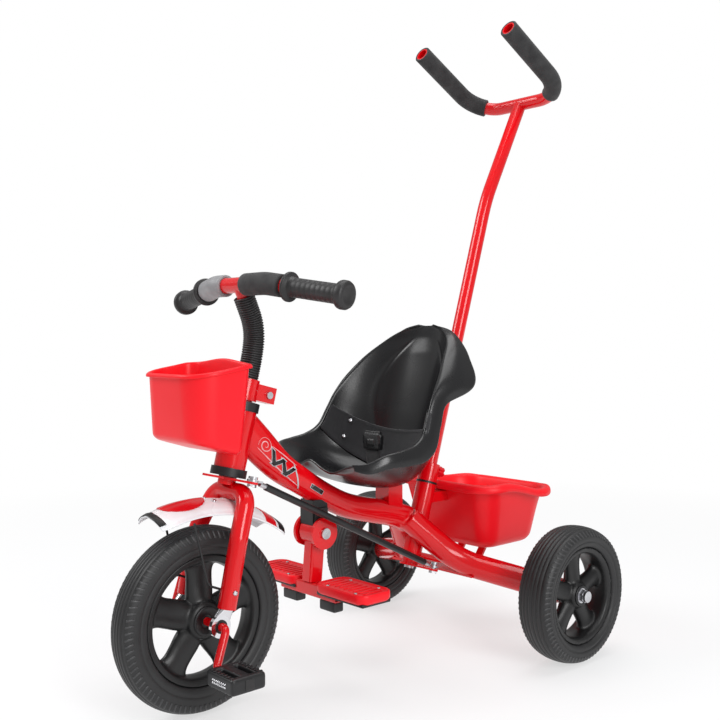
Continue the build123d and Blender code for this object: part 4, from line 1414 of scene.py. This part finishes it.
decal = {
    "swirl": {"along": 42, "height": 1.5, "inner": 2.6, "outer": 13.0, "turns": 1.8, "width": 1.5},
    # along, tall, wide, slant
    "bars": [(64, 17, 7.5, -15), (76, 20, 6.5, 13), (88, 17, 7.5, -15), (100, 19, 6.5, 11)],
    "Tail": (34, 128, -11, -14.5, 1.4), "Branch": (52, 108, 9, 14.5, 1.2),  # start, end, low, high, width
    "stripe": (116, 31, 3.4, -26), "label": (158, 7, 24, 0), "edge": 1.5, "wall": 0.25,
}
beamSkin = bvhtree.BVHTree.FromObject(frameBeam, bpy.context.evaluated_depsgraph_get())
beamTable = smoothTable(beam["stations"], 12)
beamLengths = lengthsAlong([Vector((0, y, z)) for y, z, tall, wide in beamTable])


def onBeam(side, along, height, lift):
    # a place on the beam's skin: millimetres along it from the head, and up or down from its middle line
    k = 0
    while k < len(beamLengths) - 2 and beamLengths[k + 1] < along:
        k += 1
    share = (along - beamLengths[k]) / (beamLengths[k + 1] - beamLengths[k])
    before, after = beamTable[k], beamTable[k + 1]
    y, z, tall, wide = (a + (b - a) * share for a, b in zip(before, after))
    ahead = Vector((0, after[0] - before[0], after[1] - before[1])).normalized()
    up = Vector((1, 0, 0)).cross(ahead)
    out = wide * math.sqrt(max(0.05, 1 - (height / tall) ** 2))
    start = at(side * (out + 6), y, z) + up * (height * mm)
    spot, normal = beamSkin.find_nearest(start)[:2]
    return spot + normal * (lift * mm)


def decalPiece(name, side, rows, lift, look):
    placed = [[onBeam(side, along, height, lift) for along, height in row] for row in rows]
    piece = makePiece(name, *rowsToMesh(placed, closedRow=False), finish[look])
    if piece.data.polygons[0].normal.x * side < 0:
        piece.data.flip_normals()
    giveWall(piece, decal["wall"], -1.0, rounded=False)
    return fix(piece, "frame", "black_plastic" if look == "decalBlack" else "white_plastic")


def slantedBar(along, tall, wide, slant, grow=0.0, steps=8):
    rows = []
    for i in range(steps + 1):
        height = (tall / 2 + grow) * (1 - 2 * i / steps)
        middle = along + slant * height / max(1.0, tall)
        rows.append([(middle + (wide / 2 + grow) * (2 * k / 4 - 1), height - 2) for k in range(5)])
    return rows


def swirlRows(size):
    rows = []
    count = 90
    for i in range(count + 1):
        t = i / count
        angle = math.pi * 2 * size["turns"] * t - 1.2
        radius = size["inner"] + (size["outer"] - size["inner"]) * t
        width = size["width"] * (0.35 + math.sin(math.pi * min(1.0, t * 1.15 + 0.05)) * 0.75)
        row = []
        for r in (radius - width / 2, radius + width / 2):
            row.append((size["along"] + r * math.cos(angle), size["height"] + r * math.sin(angle)))
        rows.append(row)
    return rows


def tailRows(start, end, low, high, width):
    rows = []
    for i in range(41):
        t = i / 40
        height = low + (high - low) * t + 2.5 * math.sin(t * math.pi)
        half = width * (0.25 + 0.5 * math.sin(math.pi * t))
        along = start + (end - start) * t
        rows.append([(along, height - half), (along, height + half)])
    return rows


for side, word in ((1, "left"), (-1, "right")):
    decalPiece(f"{word}Swirl", side, swirlRows(decal["swirl"]), 0.45, "decalPink")
    for part in ("Tail", "Branch"):
        decalPiece(f"{word}Swirl{part}", side, tailRows(*decal[part]), 0.45, "decalPink")
    for number, bars in enumerate(decal["bars"]):
        edge = slantedBar(*bars, grow=decal["edge"])
        decalPiece(f"{word}BarEdge{number + 1}", side, edge, 0.55, "decalGrey")
        decalPiece(f"{word}Bar{number + 1}", side, slantedBar(*bars), 0.85, "decalBlack")
    decalPiece(f"{word}Stripe", side, slantedBar(*decal["stripe"]), 0.5, "decalGrey")
    decalPiece(f"{word}LabelEdge", side, slantedBar(*decal["label"], grow=1.0), 0.5, "decalGrey")
    decalPiece(f"{word}Label", side, slantedBar(*decal["label"]), 0.8, "decalBlack")
print("stage 13: decals made")


# screws

def seatAim(t, u):
    a, b, c = seatPoint(t, u), seatPoint(t + 0.1, u), seatPoint(t, u + 0.02)
    aim = (b - a).cross(c - a).normalized()
    return aim if aim.dot(seatPoint(t, u, 10) - a) > 0 else -aim


screws = {
    "beltShares": (5.3, 6.0), "beltAcross": 0.72, "seatShares": (2.6, 3.6), "seatAcross": 0.14, "basketX": 23,
    "basketBack": 566, "legX": 62.3, "legBack": 15.9, "legUp": 168, "guardAt": 0.44, "guardAcross": 0.30,
    "frontBasketX": 14, "frontBasketBack": 36.5, "frontBasketUp": 432, "padX": 30, "padY": 22,
}


def makeScrews():
    part = screwPart()
    sides, ahead, up = (-1, 1), Vector((0, -1, 0)), Vector((0, 0, 1))
    across, seatAcross = screws["beltAcross"], screws["seatAcross"]
    spots = [(seatPoint(t, s * across, 4.6), seatAim(t, s * across)) for t in screws["beltShares"] for s in sides]
    spots += [
        (seatPoint(t, s * seatAcross, -0.4), seatAim(t, s * seatAcross)) for t in screws["seatShares"] for s in sides
    ]
    floorZ = baskets["rear"]["floor"] + 1.2
    spots += [(at(s * screws["basketX"], screws["basketBack"], floorZ), up) for s in sides]
    placed = {"frame": (spots, 0.85)}
    spots = [(at(s * screws["legX"], screws["legBack"], screws["legUp"]), Vector((s, 0, 0))) for s in sides]
    for u in (screws["guardAcross"], -screws["guardAcross"]):
        spot = guardPoint(screws["guardAt"], u)
        spots.append((spot, (guardPoint(screws["guardAt"], u, 10) - spot).normalized()))
    spots += [(at(s * screws["frontBasketX"], screws["frontBasketBack"], screws["frontBasketUp"]), ahead) for s in sides]
    placed["fork"] = (spots, 0.85)
    middleX, middleY, padZ = footPad["middleX"], footPad["middleY"], footPad["high"] - 1.6
    spots = [(at(s * middleX + x, middleY + y, padZ), up) for s in sides
             for x in (-screws["padX"], screws["padX"]) for y in (-screws["padY"], screws["padY"])]
    placed["footrest"] = (spots, 0.6)
    for body, (spots, size) in placed.items():
        fix(onSpots(f"{body}Screws", spots, part, size, finish["zincSteel"]), body, "zinc_steel")
    dropParts(part)


makeScrews()
print("stage 14: screws placed")


# finishes on the CAD parts that stay

def paintNodes():
    for name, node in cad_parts.items():
        for item in node.material_slots:
            slotName = "black_steel" if name == "mudguard_stays" else item.material.name.split(".")[0]
            item.material = finish[slotFinish[slotName]]


paintNodes()
print("stage 15: CAD parts painted")
